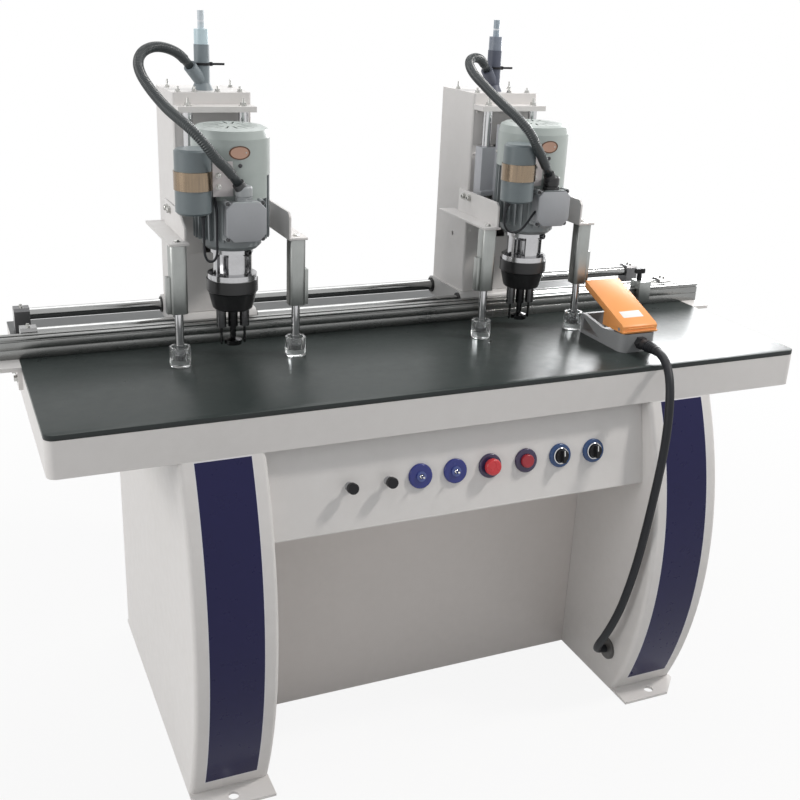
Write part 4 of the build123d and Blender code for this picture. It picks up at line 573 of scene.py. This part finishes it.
def box_finish(side, head_x):
    """Grey terminal box, its swivel gland and the black hose end on the gland."""
    material, tree, surface = bare_material(f"{side}_box_finish")
    x, y, z = object_axes(tree, "XYZ")
    gland = over(tree, z, GLAND_LOW)
    flat = axis_distance(tree, x, y, head_x, GLAND_Y)
    reach = axis_distance(tree, flat, z, 0.0, GLAND_Z)
    nozzle = both(tree, over(tree, z, GLAND_Z), over(tree, reach, 0.01353))
    shade = (0.40, 0.43, 0.44) if side == "left" else (0.085, 0.10, 0.105)
    colour = layered(tree, BOX_GREY, (gland, shade), (nozzle, BLACK))
    dust = mixed(tree, gland, (0.28, 0.29, 0.30), (0.16, 0.17, 0.17))
    coat(tree, surface, colour, dust, 0.35, 0.4, 160.0, 0.08)
    return material


def post_finish(side):
    """Slate boot, pale collar, and a paler nipple with a white ring."""
    material, tree, surface = bare_material(f"{side}_post_finish")
    (z,) = object_axes(tree, "Z")
    collar = over(tree, z, 1.3996)
    nipple = over(tree, z, 1.4287)
    ring = between(tree, z, 1.4420, 1.4455)
    boot = (0.20, 0.235, 0.255) if side == "left" else (0.072, 0.080, 0.115)
    shade = (0.56, 0.69, 0.74) if side == "left" else (0.16, 0.18, 0.235)
    pale = (0.60, 0.66, 0.70) if side == "left" else (0.30, 0.36, 0.42)
    colour = layered(tree, boot, (collar, shade), (nipple, pale), (ring, (0.74, 0.76, 0.80)))
    dust = mixed(tree, collar, (0.12, 0.14, 0.15), (0.5, 0.56, 0.58))
    coat(tree, surface, colour, dust, 0.3, mixed_value(tree, collar, 0.5, 0.32), 400.0, 0.05)
    return material


def switch_finish():
    """Blue bezels on toggles and selectors, dark ones on the buttons, bare nuts on the valves."""
    material, tree, surface = bare_material("switch_finish")
    x, z = object_axes(tree, "XZ")
    selector = over(tree, x, 0.17)
    button = between(tree, x, 0.01, 0.17)
    valve = under(tree, x, -0.14)
    colour = mixed(tree, selector, (0.016, 0.024, 0.19), (0.018, 0.060, 0.17))
    colour = mixed(tree, button, colour, (0.040, 0.026, 0.070))
    for toggle in TOGGLES:
        nut = under(tree, axis_distance(tree, x, z, toggle, 0.6325), 0.0101)
        colour = mixed(tree, nut, colour, (0.07, 0.10, 0.30))
    colour = mixed(tree, valve, colour, (0.4, 0.4, 0.4))
    coat(tree, surface, colour, (0.06, 0.08, 0.22), 0.15, 0.24, 300.0, 0.03)
    return material


def pedal_finish():
    """Grey pedal casting with its black gland."""
    material, tree, surface = bare_material("pedal_finish")
    (y,) = object_axes(tree, "Y")
    gland = under(tree, y, PEDAL_Y - 0.0003)
    colour = mixed(tree, gland, (0.29, 0.295, 0.30), BLACK)
    dust = mixed(tree, gland, (0.20, 0.20, 0.20), (0.04, 0.04, 0.04))
    coat(tree, surface, colour, dust, 0.4, 0.45, 140.0, 0.2)
    return material


def spindle_finish(name, sleeve, tool):
    """Machined shaft, the holder below the gear case and the tool in it."""
    material, tree, surface = bare_material(name, metallic=1.0)
    (z,) = object_axes(tree, "Z")
    holder = between(tree, z, 0.8664, 0.9055)
    below = under(tree, z, 0.8664)
    colour = layered(tree, (0.42, 0.42, 0.43), (holder, sleeve), (below, tool))
    metal(tree, surface, colour, (0.05, 0.05, 0.05), 0.22, (2, 2, 40))
    return material


def badge_finish(side, head_x):
    """Copper plate with a dark rim."""
    material, tree, surface = bare_material(f"{side}_badge_finish", metallic=1.0)
    x, z = object_axes(tree, "XZ")
    half_x, half_z = BADGE_HALF
    across = node_math(tree, "DIVIDE", node_math(tree, "SUBTRACT", x, head_x + BADGE_X), half_x)
    up = node_math(tree, "DIVIDE", node_math(tree, "SUBTRACT", z, BADGE_Z), half_z)
    rim = over(tree, axis_distance(tree, across, up, 0.0, 0.0), 0.84)
    colour = mixed(tree, rim, (0.40, 0.26, 0.20), (0.12, 0.07, 0.05))
    haze = mixed(tree, rim, (0.24, 0.15, 0.11), (0.07, 0.04, 0.03))
    metal(tree, surface, colour, haze, 0.34, (20, 20, 20))
    return material


# Mesh helpers
def smooth_object(name, bm, material):
    """Turns a bmesh into a smooth shaded object."""
    bmesh.ops.recalc_face_normals(bm, faces=bm.faces)
    mesh = bpy.data.meshes.new(name)
    bm.to_mesh(mesh)
    bm.free()
    for face in mesh.polygons:
        face.use_smooth = True
    mesh.materials.append(material)
    made = bpy.data.objects.new(name, mesh)
    bpy.context.scene.collection.objects.link(made)
    return made


def piece(name, bm, material, body):
    """Turns a bmesh into a piece that rides on a CAD body, sharp at its clear edges."""
    made = smooth_object(name, bm, material)
    made.data.set_sharp_from_angle(angle=math.radians(32))
    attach(made, body)
    return made


def upright(place, way):
    """A placing matrix whose z runs along a direction."""
    return Matrix.Translation(place) @ Vector(way).to_track_quat("Z", "Y").to_matrix().to_4x4()


def drum(bm, matrix, low, high, radius, top_radius=None, sides=24):
    """A straight or tapered round bar along the matrix's z."""
    bmesh.ops.create_cone(bm, cap_ends=True, segments=sides, radius1=radius,
                          radius2=radius if top_radius is None else top_radius, depth=high - low,
                          matrix=matrix @ Matrix.Translation((0, 0, (low + high) / 2)))


def turned(bm, matrix, profile, sides=32):
    """A turned shape from its half outline of radius and height."""
    older = set(bm.verts)
    corners = [bm.verts.new((radius, 0, height)) for radius, height in profile]
    edges = [bm.edges.new(pair) for pair in zip(corners, corners[1:])]
    bmesh.ops.spin(bm, geom=corners + edges, cent=(0, 0, 0), axis=(0, 0, 1), angle=math.tau, steps=sides,
                   use_merge=True)
    bmesh.ops.remove_doubles(bm, verts=[v for v in bm.verts if v not in older], dist=1e-6)
    bmesh.ops.transform(bm, verts=[v for v in bm.verts if v not in older], matrix=matrix)


def level_way(angle):
    """The level direction at an angle in degrees."""
    turn = math.radians(angle)
    return Vector((math.cos(turn), math.sin(turn), 0))


def sharp_edges(bm, angle):
    """The edges whose faces turn by more than an angle in degrees."""
    return [e for e in bm.edges if e.is_manifold and e.calc_face_angle() > math.radians(angle)]


def round_edges(bm, edges, width, segments=2):
    """Rounds the given edges."""
    bmesh.ops.bevel(bm, geom=edges, offset=width, offset_type="OFFSET", affect="EDGES", segments=segments,
                    profile=0.5, material=-1, clamp_overlap=True)


def bevelled_box(bm, matrix, low, high, width):
    """A box between two corners with rounded edges."""
    older = set(bm.verts)
    low, high = Vector(low), Vector(high)
    shape = bmesh.ops.create_cube(bm, size=1.0)["verts"]
    bmesh.ops.scale(bm, verts=shape, vec=high - low)
    bmesh.ops.translate(bm, verts=shape, vec=(low + high) / 2)
    round_edges(bm, list({e for v in shape for e in v.link_edges}), width, 3)
    bmesh.ops.transform(bm, verts=[v for v in bm.verts if v not in older], matrix=matrix)


# Half outlines of screw heads, radius and height in units of the head's radius
CAP_HEAD = [(0, 0.55), (0.45, 0.55), (0.5, 1.15), (0.86, 1.2), (1, 1.05), (1, 0.2), (0, 0.2)]
PAN_HEAD = [(0, 0.30), (0.25, 0.30), (0.34, 0.62), (0.7, 0.5), (1, 0.12), (1, 0), (0, 0)]


def screw_head(bm, seat, outline, radius):
    """A turned screw head of a given radius."""
    turned(bm, seat, [(radius * out, radius * up) for out, up in outline], 12)


def cap_screw(bm, place, way, radius):
    """A socket cap screw head with its washer, seated on a face."""
    seat = upright(place, way)
    drum(bm, seat, 0.0, radius * 0.22, radius * 1.35, sides=18)
    screw_head(bm, seat, CAP_HEAD, radius)


def hex_bolt(bm, place, way, radius, stud=0.0):
    """A hexagon head or nut on a washer, with a stud end where one stands out."""
    seat = upright(place, way)
    drum(bm, seat, 0.0, radius * 0.2, radius * 1.3, sides=20)
    drum(bm, seat, radius * 0.2, radius * 1.05, radius, radius * 0.97, sides=6)
    if stud:
        drum(bm, seat, radius, radius + stud, radius * 0.5, radius * 0.45, sides=12)


def pan_screw(bm, place, way, radius):
    """A domed screw head with a round recess."""
    screw_head(bm, upright(place, way), PAN_HEAD, radius)


# Cords
def route_line(name, points):
    """Points along the NURBS spline that has the route's points as its control points."""
    curve = bpy.data.curves.new(name, "CURVE")
    curve.dimensions = "3D"
    curve.resolution_u = 16
    spline = curve.splines.new("NURBS")
    spline.points.add(len(points) - 1)
    for knot, point in zip(spline.points, points):
        knot.co = (*point, 1)
    spline.order_u = 3
    spline.use_endpoint_u = True
    holder = bpy.data.objects.new(name, curve)
    line = bpy.data.meshes.new_from_object(holder)
    found = [v.co.copy() for v in line.vertices]
    bpy.data.objects.remove(holder)
    bpy.data.curves.remove(curve)
    bpy.data.meshes.remove(line)
    return found


def walk(points, distances):
    """Places and directions along a line at the given distances."""
    lengths = [0.0]
    for first, second in zip(points, points[1:]):
        lengths.append(lengths[-1] + (second - first).length)
    found = []
    index = 0
    for distance in distances:
        distance = min(max(distance, 0.0), lengths[-1])
        while index < len(points) - 2 and lengths[index + 1] < distance:
            index += 1
        first, second = points[index], points[index + 1]
        share = (distance - lengths[index]) / max(lengths[index + 1] - lengths[index], 1e-9)
        found.append((first.lerp(second, share), (second - first).normalized()))
    return found


def laid_points(start, points):
    """Points that are given in millimetres from a start in metres."""
    return [Vector([a + b / 1000 for a, b in zip(start, point)]) for point in points]


def line_length(points):
    """Length along a line of points."""
    return sum((second - first).length for first, second in zip(points, points[1:]))


def hose_mesh(points, stations, sides):
    """A tube along a line, one ring for each distance and radius, with its ends closed."""
    bm = bmesh.new()
    places = walk(points, [distance for distance, radius in stations])
    side = places[0][1].orthogonal().normalized()
    ring = bmesh.ops.create_circle(bm, cap_ends=True, segments=sides, radius=1.0)["verts"]
    angles = [math.tau * index / sides for index in range(sides)]
    edges = list({e for v in ring for e in v.link_edges})
    for number, ((place, way), (distance, radius)) in enumerate(zip(places, stations)):
        side = (side - way * side.dot(way)).normalized()
        across = way.cross(side)
        if number:
            made = bmesh.ops.extrude_edge_only(bm, edges=edges)["geom"]
            grown = {g for g in made if isinstance(g, bmesh.types.BMVert)}
            edges = [g for g in made if isinstance(g, bmesh.types.BMEdge) and grown.issuperset(g.verts)]
            ring = [next(e.other_vert(old) for e in old.link_edges if e.other_vert(old) in grown)
                    for old in ring]
        for vert, angle in zip(ring, angles):
            vert.co = place + (side * math.cos(angle) + across * math.sin(angle)) * radius
    bmesh.ops.contextual_create(bm, geom=ring)
    return bm


def plain_stations(length, radius, step):
    """Distances and radii of a smooth cable."""
    count = int(length / step)
    return [(length * number / count, radius) for number in range(count + 1)]


def ribbed_stations(length, pitch, crest, valley, cuff):
    """Distances and radii of a corrugated hose between two plain cuffs."""
    count = int((length - 2 * cuff) / pitch)
    pitch = (length - 2 * cuff) / count
    rib = ((0.2, valley), (0.36, crest - 0.0002), (0.56, crest), (0.76, crest - 0.0002), (0.95, valley))
    stations = [(0.0, valley), (cuff, valley)]
    for number in range(count):
        start = cuff + number * pitch
        stations += [(start + share * pitch, radius) for share, radius in rib]
    return stations + [(length - cuff, valley), (length, valley)]


# Free points of each motor hose in millimetres: offset in x and y from the spindle, height above the table
HOSE_POINTS = {
    "left": [(-57, -118, 411), (-80, -123, 441), (-101, -105, 466), (-117, -72, 481), (-129, -39, 494),
             (-146, 10, 521), (-156, 52, 547), (-154, 79, 567), (-139, 102, 583), (-112, 121, 591),
             (-81, 135, 586)],
    "right": [(-62, -127, 421), (-80, -127, 449), (-93, -115, 468), (-103, -93, 484), (-113, -63, 500),
              (-121, -30, 517), (-126, 8, 535), (-128, 45, 550), (-125, 76, 565), (-111, 104, 577),
              (-84, 127, 581)],
}
HOSE_RADIUS = 0.0100


def motor_hose(side, head_x):
    """Corrugated hose from the swivel gland on the motor to the branch on the column."""
    gland = Vector((head_x - 0.01225, -0.09798, 1.17092))
    branch = Vector((head_x - 0.0357, 0.1627, 1.3589))
    points = [gland, gland + Vector((-0.01671, -0.00747, 0.02376))]
    points += laid_points((head_x, SPINDLE_Y, TABLE_TOP), HOSE_POINTS[side])
    points += [branch + Vector((-0.01784, -0.01340, 0.02006)), branch]
    line = route_line(f"{side}_hose_route", points)
    bm = hose_mesh(line, ribbed_stations(line_length(line), 0.0042, HOSE_RADIUS, 0.0087, 0.02), 20)
    hose = smooth_object(f"{side}_hose", bm, hose_rubber)
    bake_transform(hose)
    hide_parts(f"{side}_motor_hose")


# Free points of the pedal cable in millimetres: x, depth behind the table's front edge, height above its top
CABLE_POINTS = [(443, 36, 23), (438, 4, 21), (429, -28, 11), (417, -58, -12), (408, -78, -50),
                (403, -88, -99), (400, -91, -152), (398, -88, -209), (398, -81, -269), (398, -73, -329),
                (398, -64, -389), (397, -54, -449), (394, -43, -507), (390, -31, -561), (385, -17, -607),
                (381, -1, -647), (378, 16, -681)]
CABLE_RADIUS = 0.009


def pedal_cable():
    """Rubber cable from the pedal's gland, over the table's edge and down into the right leg."""
    points = [Vector((PEDAL_X, -0.265, 0.829))]
    points += laid_points((0, FRONT_Y, TABLE_TOP), CABLE_POINTS)
    points += [Vector((0.386, -0.297, 0.097)), Vector((0.423, -0.297, 0.097))]
    line = route_line("cable_route", points)
    bm = hose_mesh(line, plain_stations(line_length(line), CABLE_RADIUS, 0.006), 24)
    cable = piece("pedal_lead", bm, black_rubber, "base")
    sleeve = [(0.0, 0.0128), (0.003, 0.0132)]
    for ring in range(5):
        start = 0.005 + 0.0062 * ring
        size = 0.0129 - 0.0006 * ring
        sleeve += [(start, size), (start + 0.0006, size - 0.0014), (start + 0.0022, size - 0.0014),
                   (start + 0.0028, size - 0.0002)]
    sleeve += [(0.0400, 0.0101), (0.0410, 0.0092)]
    relief = piece("pedal_lead_sleeve", hose_mesh(line, sleeve, 24), black_rubber, "base")
    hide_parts("pedal_cable")


# New pieces of the heads
FOOT_LOW = TABLE_TOP + 0.0003
FOOT_RADIUS = 0.0214
FOOT_HEIGHT = 0.040
FOOT_WALL = 0.005
FOOT_RECESS = 0.0258
PISTON_LOW = 0.9320
PISTON_TOP = 0.9440


def clamp(side, name, head_x, way):
    """Chrome piston rod with a clear foot that presses the panel down."""
    body = f"{side}_{name}_clamp"
    seat_z = FOOT_LOW + FOOT_HEIGHT - FOOT_RECESS
    axis = Matrix.Translation((head_x + way * CLAMP_X, CLAMP_Y, 0))
    bm = bmesh.new()
    turned(bm, axis, [(0, seat_z), (0.0072, seat_z), (0.0085, seat_z + 0.0013), (0.0085, PISTON_LOW),
                      (0.0119, PISTON_LOW + 0.0005), (0.0119, PISTON_TOP), (0, PISTON_TOP)], 40)
    rod = piece(f"{body}_rod", bm, chrome_rod, body)
    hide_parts(body)
    bm = bmesh.new()
    seat = axis @ Matrix.Translation((0, 0, FOOT_LOW)) @ Matrix.Rotation(math.pi / 8, 4, "Z")
    ring = bmesh.ops.create_circle(bm, cap_ends=True, segments=8, radius=FOOT_RADIUS, matrix=seat)["verts"]
    grown = bmesh.ops.extrude_face_region(bm, geom=[ring[0].link_faces[0]])["geom"]
    top = [g for g in grown if isinstance(g, bmesh.types.BMVert)]
    bmesh.ops.translate(bm, verts=top, vec=(0, 0, FOOT_HEIGHT))
    lid = next(g for g in grown if isinstance(g, bmesh.types.BMFace))
    bmesh.ops.inset_region(bm, faces=[lid], thickness=FOOT_WALL, depth=0.0)
    sunk = bmesh.ops.extrude_face_region(bm, geom=[lid])["geom"]
    low = [g for g in sunk if isinstance(g, bmesh.types.BMVert)]
    bmesh.ops.translate(bm, verts=low, vec=(0, 0, -FOOT_RECESS))
    bmesh.ops.delete(bm, geom=[lid], context="FACES_ONLY")
    round_edges(bm, sharp_edges(bm, 30), 0.0009)
    piece(f"{body}_foot", bm, clear_foot, body)
    bm = bmesh.new()
    drum(bm, axis, seat_z + 0.0001, seat_z + 0.0083, 0.0125, 0.0122, sides=6)
    drum(bm, axis, seat_z, seat_z + 0.0010, 0.0142, sides=28)
    piece(f"{body}_nut", bm, dark_steel, body)


def motor_screws(side, head_x):
    """Screws of the motor: black on box, adapter and the cover's front, bright on clamp plate and cover."""
    ram = f"{side}_ram"
    spindle = Vector((head_x, SPINDLE_Y, 0))
    offsets = (-BOX_SCREW_OFFSET, BOX_SCREW_OFFSET)
    corners = [(head_x + across, BOX_MIDDLE + up) for across in offsets for up in offsets]
    bm = bmesh.new()
    for x, z in corners:
        cap_screw(bm, (x, BOX_FRONT, z), (0, -1, 0), 0.0030)
    for angle in (-178, -134, -55, 35, 110):
        cap_screw(bm, spindle + level_way(angle) * 0.0435 + Vector((0, 0, FLANGE_TOP)), (0, 0, 1), 0.0044)
    for angle in (-58, 122):
        way = level_way(angle)
        cap_screw(bm, spindle + way * 0.0405 + Vector((0, 0, 1.0245)), way, 0.0062)
    pan_screw(bm, (head_x - 0.0015, SPINDLE_Y - COVER_RADIUS, COVER_SCREW_Z), (0, -1, 0), 0.0040)
    piece(f"{side}_black_screws", bm, dark_steel, ram)

    bm = bmesh.new()
    for x, z in corners:
        drum(bm, upright((x, 0, z), (0, -1, 0)), 0.080, -BOX_FRONT, 0.0052, sides=18)
    piece(f"{side}_box_ears", bm, ear_grey, ram)

    bm = bmesh.new()
    for z in (1.162, 1.183):
        cap_screw(bm, (head_x + PLATE_X[side], PLATE_FRONT, z), (0, -1, 0), 0.0042)
    for angle in (150, 30):
        way = level_way(angle)
        pan_screw(bm, spindle + way * COVER_RADIUS + Vector((0, 0, COVER_SCREW_Z)), way, 0.0040)
    piece(f"{side}_bright_screws", bm, screw_zinc, ram)


def column_screws(side, head_x):
    """Bolts and studs of the column, the top bar and the hold-down brackets."""
    bm = bmesh.new()
    for way in (-1, 1):
        for y in (0.078, 0.103):
            cap_screw(bm, (head_x + way * WEB_FACE_X, y, 1.0915), (way, 0, 0), 0.0060)
        pan_screw(bm, (head_x + way * CLAMP_X, CLAMP_Y, 1.055), (0, 0, 1), 0.0072)
        hex_bolt(bm, (head_x + way * 0.066, COLUMN_Y + 0.108, COLUMN_TOP), (0, 0, 1), 0.0045, 0.012)
        hex_bolt(bm, (head_x + way * ROD_X, ROD_Y, 1.2885), (0, 0, 1), 0.0062, 0.009)
    for across in (-0.066, -0.033, 0.014, 0.060):
        hex_bolt(bm, (head_x + across, COLUMN_Y + 0.013, COLUMN_TOP), (0, 0, 1), 0.0050, 0.006)
    piece(f"{side}_column_screws", bm, screw_zinc, f"{side}_head")


def gland_nut(side, head_x):
    """Hexagon and ribbed ring at the foot of the swivel gland."""
    bm = bmesh.new()
    axis = Matrix.Translation((head_x, GLAND_Y, 0))
    drum(bm, axis, GLAND_LOW + 0.0001, 1.1430, 0.0172, 0.0168, sides=6)
    turned(bm, axis, [(0.0130, 1.1428), (0.0162, 1.1430), (0.0164, 1.1446), (0.0146, 1.1452),
                      (0.0146, 1.1466), (0.0164, 1.1472), (0.0164, 1.1598), (0.0158, 1.1626),
                      (0.0142, 1.1648), (0.0100, 1.1664), (0, 1.1672)], 36)
    cap = ear_grey if side == "left" else black_case
    piece(f"{side}_gland_nut", bm, cap, f"{side}_ram")


def column_shutters(side, head_x):
    """Sheets that close the column's window, with a slot for the travel of the feed lug."""
    seat = Matrix.Translation((head_x, COLUMN_Y, 0))
    half = 0.0760
    slot_half = 0.0230
    front = 0.0008
    rear = 0.0028
    bm = bmesh.new()
    bevelled_box(bm, seat, (-half, front, 1.2000), (half, rear, 1.2865), 0.0004)
    for way in (-1, 1):
        low, high = sorted((way * slot_half, way * half))
        bevelled_box(bm, seat, (low, front, 0.9880), (high, rear, 1.1994), 0.0004)
        for z in (1.005, 1.180, 1.272):
            pan_screw(bm, (head_x + way * 0.0690, COLUMN_Y + front, z), (0, -1, 0), 0.0032)
    piece(f"{side}_column_shutters", bm, cream_paint, f"{side}_head")


def badge_plate(side, head_x):
    """A bare oval plate bent to the fan cover, with a raised rim."""
    bm = bmesh.new()
    disc = bmesh.ops.create_circle(bm, cap_ends=True, segments=48, radius=1.0)["verts"]
    face = disc[0].link_faces[0]
    for thickness, depth in ((0.05, 0.06), (0.09, 0.0), (0.03, -0.04), (0.18, 0.0), (0.18, 0.0), (0.18, 0.0)):
        bmesh.ops.inset_region(bm, faces=[face], thickness=thickness, depth=depth)
    bmesh.ops.poke(bm, faces=[face])
    bmesh.ops.solidify(bm, geom=bm.faces[:], thickness=0.05)
    half_x, half_z = BADGE_HALF
    for vert in bm.verts:
        turn = vert.co.x * half_x / COVER_RADIUS
        reach = COVER_RADIUS + 0.0007 + vert.co.z * 0.012
        vert.co = (head_x + BADGE_X + reach * math.sin(turn), SPINDLE_Y - reach * math.cos(turn),
                   BADGE_Z + vert.co.y * half_z)
    piece(f"{side}_badge_plate", bm, badge_finish(side, head_x), f"{side}_ram")


# Points of each capacitor lead in millimetres: offset in x from the spindle, y and height
LEAD_POINTS = {
    "left": [(-77, -88, 1113), (-77.5, -91, 1098), (-78, -95, 1074), (-78, -97, 1053), (-77.5, -98, 1038),
             (-71.5, -98, 1026), (-59.5, -98, 1026), (-53.5, -97, 1038), (-53, -96, 1053), (-53, -95, 1072),
             (-52.5, -94, 1096), (-51.5, -90, 1118), (-50.5, -80, 1135), (-50, -68, 1148), (-50, -58, 1158)],
    "right": [(-104, -97, 1113), (-109, -98.5, 1099), (-111.5, -100, 1084), (-110, -100, 1069),
              (-104, -100, 1059), (-96, -100, 1053), (-87, -100, 1051), (-77, -100, 1052), (-67, -99, 1057),
              (-57, -98, 1066), (-47, -97, 1079), (-40, -96, 1088), (-34.5, -95, 1093)],
}
LEAD_RADIUS = 0.0024


def capacitor_lead(side, head_x):
    """Black lead that loops from under the capacitor to the motor."""
    points = laid_points((head_x, 0, 0), LEAD_POINTS[side])
    line = route_line(f"{side}_lead_route", points)
    length = line_length(line)
    bm = hose_mesh(line, plain_stations(length, LEAD_RADIUS, 0.003), 14)
    lead = piece(f"{side}_capacitor_lead", bm, black_rubber, f"{side}_ram")
    sleeve = [(0.0, 0.0062), (0.004, 0.0060), (0.005, 0.0046), (0.010, 0.0038), (0.020, 0.0026)]
    bm = hose_mesh(line, sleeve, 18)
    relief = piece(f"{side}_lead_sleeve", bm, black_rubber, f"{side}_ram")


def hose_tie(side, head_x):
    """Cable tie round the boot and the hose, with its lock and tail."""
    bm = bmesh.new()
    axis = Matrix.Translation((head_x + POST_X, POST_Y, 1.3620))
    turned(bm, axis, [(0.0152, -0.0024), (0.0172, -0.0024), (0.0172, 0.0024), (0.0152, 0.0024),
                      (0.0152, -0.0024)], 40)
    lock = axis @ Matrix.Translation((0.0168, -0.003, 0))
    bevelled_box(bm, lock, (-0.0025, -0.004, -0.0038), (0.0040, 0.004, 0.0038), 0.0008)
    bevelled_box(bm, lock, (0.0030, -0.0010, -0.0022), (0.0290, 0.0010, 0.0022), 0.0004)
    reach = axis @ Matrix.Rotation(math.radians(217), 4, "Z")
    bevelled_box(bm, reach, (0.0140, -0.0010, -0.0024), (0.0330, 0.0010, 0.0024), 0.0004)
    piece(f"{side}_hose_tie", bm, black_plastic, f"{side}_head")


# New pieces of table and controls
def table_screws():
    """Screws of the shaft blocks and the fence lugs."""
    bm = bmesh.new()
    for way in (-1, 1):
        for y in SHAFT_Y:
            for shift in (-0.0068, 0.0068):
                cap_screw(bm, (way * 0.774, y + shift, 0.856), (0, 0, 1), 0.0034)
        for y in (0.048, 0.096):
            hex_bolt(bm, (way * 0.808, y, 0.780), (way, 0, 0), 0.0065)
    piece("table_screws", bm, screw_zinc, "base")


def selector_trim(name, x):
    """White pointer line on a selector's grip, and a bright collar round its knob, on the bezel."""
    seat = upright(CONTROL_ROW + Vector((x, 0, 0)), CONTROL_OUT)
    bm = bmesh.new()
    bevelled_box(bm, seat, (-0.0012, 0.001, 0.0220), (0.0012, 0.0125, 0.0227), 0.0003)
    piece(f"{name}_selector_mark", bm, white_plastic, f"{name}_selector")
    bm = bmesh.new()
    turned(bm, seat, [(0.0142, 0.0056), (0.0178, 0.0056), (0.0176, 0.0082), (0.0162, 0.0094),
                      (0.0146, 0.0090), (0.0142, 0.0056)], 48)
    piece(f"{name}_selector_ring", bm, chrome_rod, "base")


def treadle_trim():
    """A bare pale label plate let into the treadle's slope, and two low ribs across its front."""
    seat = Matrix.Translation((PEDAL_X, PEDAL_Y + 0.046, 0.8818)) @ Matrix.Rotation(TREADLE_SLOPE, 4, "X")
    bm = bmesh.new()
    bevelled_box(bm, seat, (-0.026, -0.017, -0.0006), (0.026, 0.017, 0.0008), 0.0005)
    piece("treadle_label", bm, white_plastic, "pedal_treadle")
    bm = bmesh.new()
    for z in (0.8535, 0.8605):
        seat = Matrix.Translation((PEDAL_X, PEDAL_Y, z))
        bevelled_box(bm, seat, (-0.033, -0.0012, -0.0013), (0.033, 0.0010, 0.0013), 0.0006)
    piece("treadle_ribs", bm, orange_plastic, "pedal_treadle")


# Finishes of the CAD nodes
def softened(node, width, material):
    """Shows a copy of a CAD node with rounded edges in its place, on the node's body, with the given
    material.
    """
    bm = bmesh.new()
    bm.from_mesh(nodes[node].data)
    bmesh.ops.remove_doubles(bm, verts=bm.verts, dist=1e-6)
    bmesh.ops.dissolve_limit(bm, angle_limit=math.radians(1.0), verts=bm.verts, edges=bm.edges)
    round_edges(bm, sharp_edges(bm, 35), width)
    body = next(b for b, members in frame["record"]["behaviour"]["bodies"].items() if node in members)
    made = piece(f"{node}_soft", bm, material, body)
    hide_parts(node)


def dress(node, material):
    """Gives a CAD node its finish."""
    nodes[node].data.materials.clear()
    nodes[node].data.materials.append(material)


# Build
stand_camera()
studio()
for head, head_place in HEADS.items():
    motor_hose(head, head_place)
pedal_cable()

plain_nodes = {
    "cabinet_panels": shaded_panel_paint, "control_panel": cream_paint, "table_frame": frame_paint(),
    "stop_knob": black_plastic, "guide_shafts": shaft_steel(), "switch_bodies": switch_finish(),
    "stop_button": red_plastic, "start_button": dark_red_plastic, "pedal_base": pedal_finish(),
}
for side in HEADS:
    plain_nodes |= {
        f"{side}_leg": striped_leg(side), f"{side}_toggle": chrome_rod, f"{side}_selector": black_plastic,
        f"{side}_valve_knob": black_plastic,
    }
for node, finish in plain_nodes.items():
    dress(node, finish)
softened("table_top", 0.0012, table_laminate())
softened("fence_rail", 0.0005, rail_aluminium)
softened("fence_stop", 0.0008, cylinder_aluminium)
softened("pedal_treadle", 0.0022, orange_plastic)
treadle_trim()
table_screws()
for name, x in SELECTORS.items():
    selector_trim(name, x)

centre_steel = spindle_finish("centre_spindle_steel", (0.030, 0.030, 0.032), (0.035, 0.035, 0.037))
side_steel = spindle_finish("side_spindle_steel", (0.16, 0.16, 0.165), (0.05, 0.05, 0.052))
for head, head_place in HEADS.items():
    head_nodes = {
        "carriage": carriage_metal(head, head_place), "column": cream_paint,
        "guide_frame": guide_finish(head, head_place), "hose_post": post_finish(head),
        "motor_body": motor_finish(head, head_place), "fan_cover": cover_green,
        "capacitor": capacitor_finish(head, head_place), "adapter": turned_steel, "gearbox": black_case,
        "centre_spindle": centre_steel, "near_spindle": side_steel, "far_spindle": side_steel,
    }
    for node, finish in head_nodes.items():
        dress(f"{head}_{node}", finish)
    softened(f"{head}_clamp_brackets", 0.0010, cream_paint)
    softened(f"{head}_clamp_cylinders", 0.0010, cylinder_aluminium)
    softened(f"{head}_slide", 0.0010, shaded_slide_paint)
    softened(f"{head}_terminal_box", 0.0012, box_finish(head, head_place))
    clamp(head, "near", head_place, -1)
    clamp(head, "far", head_place, 1)
    for make in (motor_screws, column_screws, column_shutters, gland_nut, badge_plate, capacitor_lead,
                 hose_tie):
        make(head, head_place)

bpy.context.scene.view_settings.view_transform = "Standard"
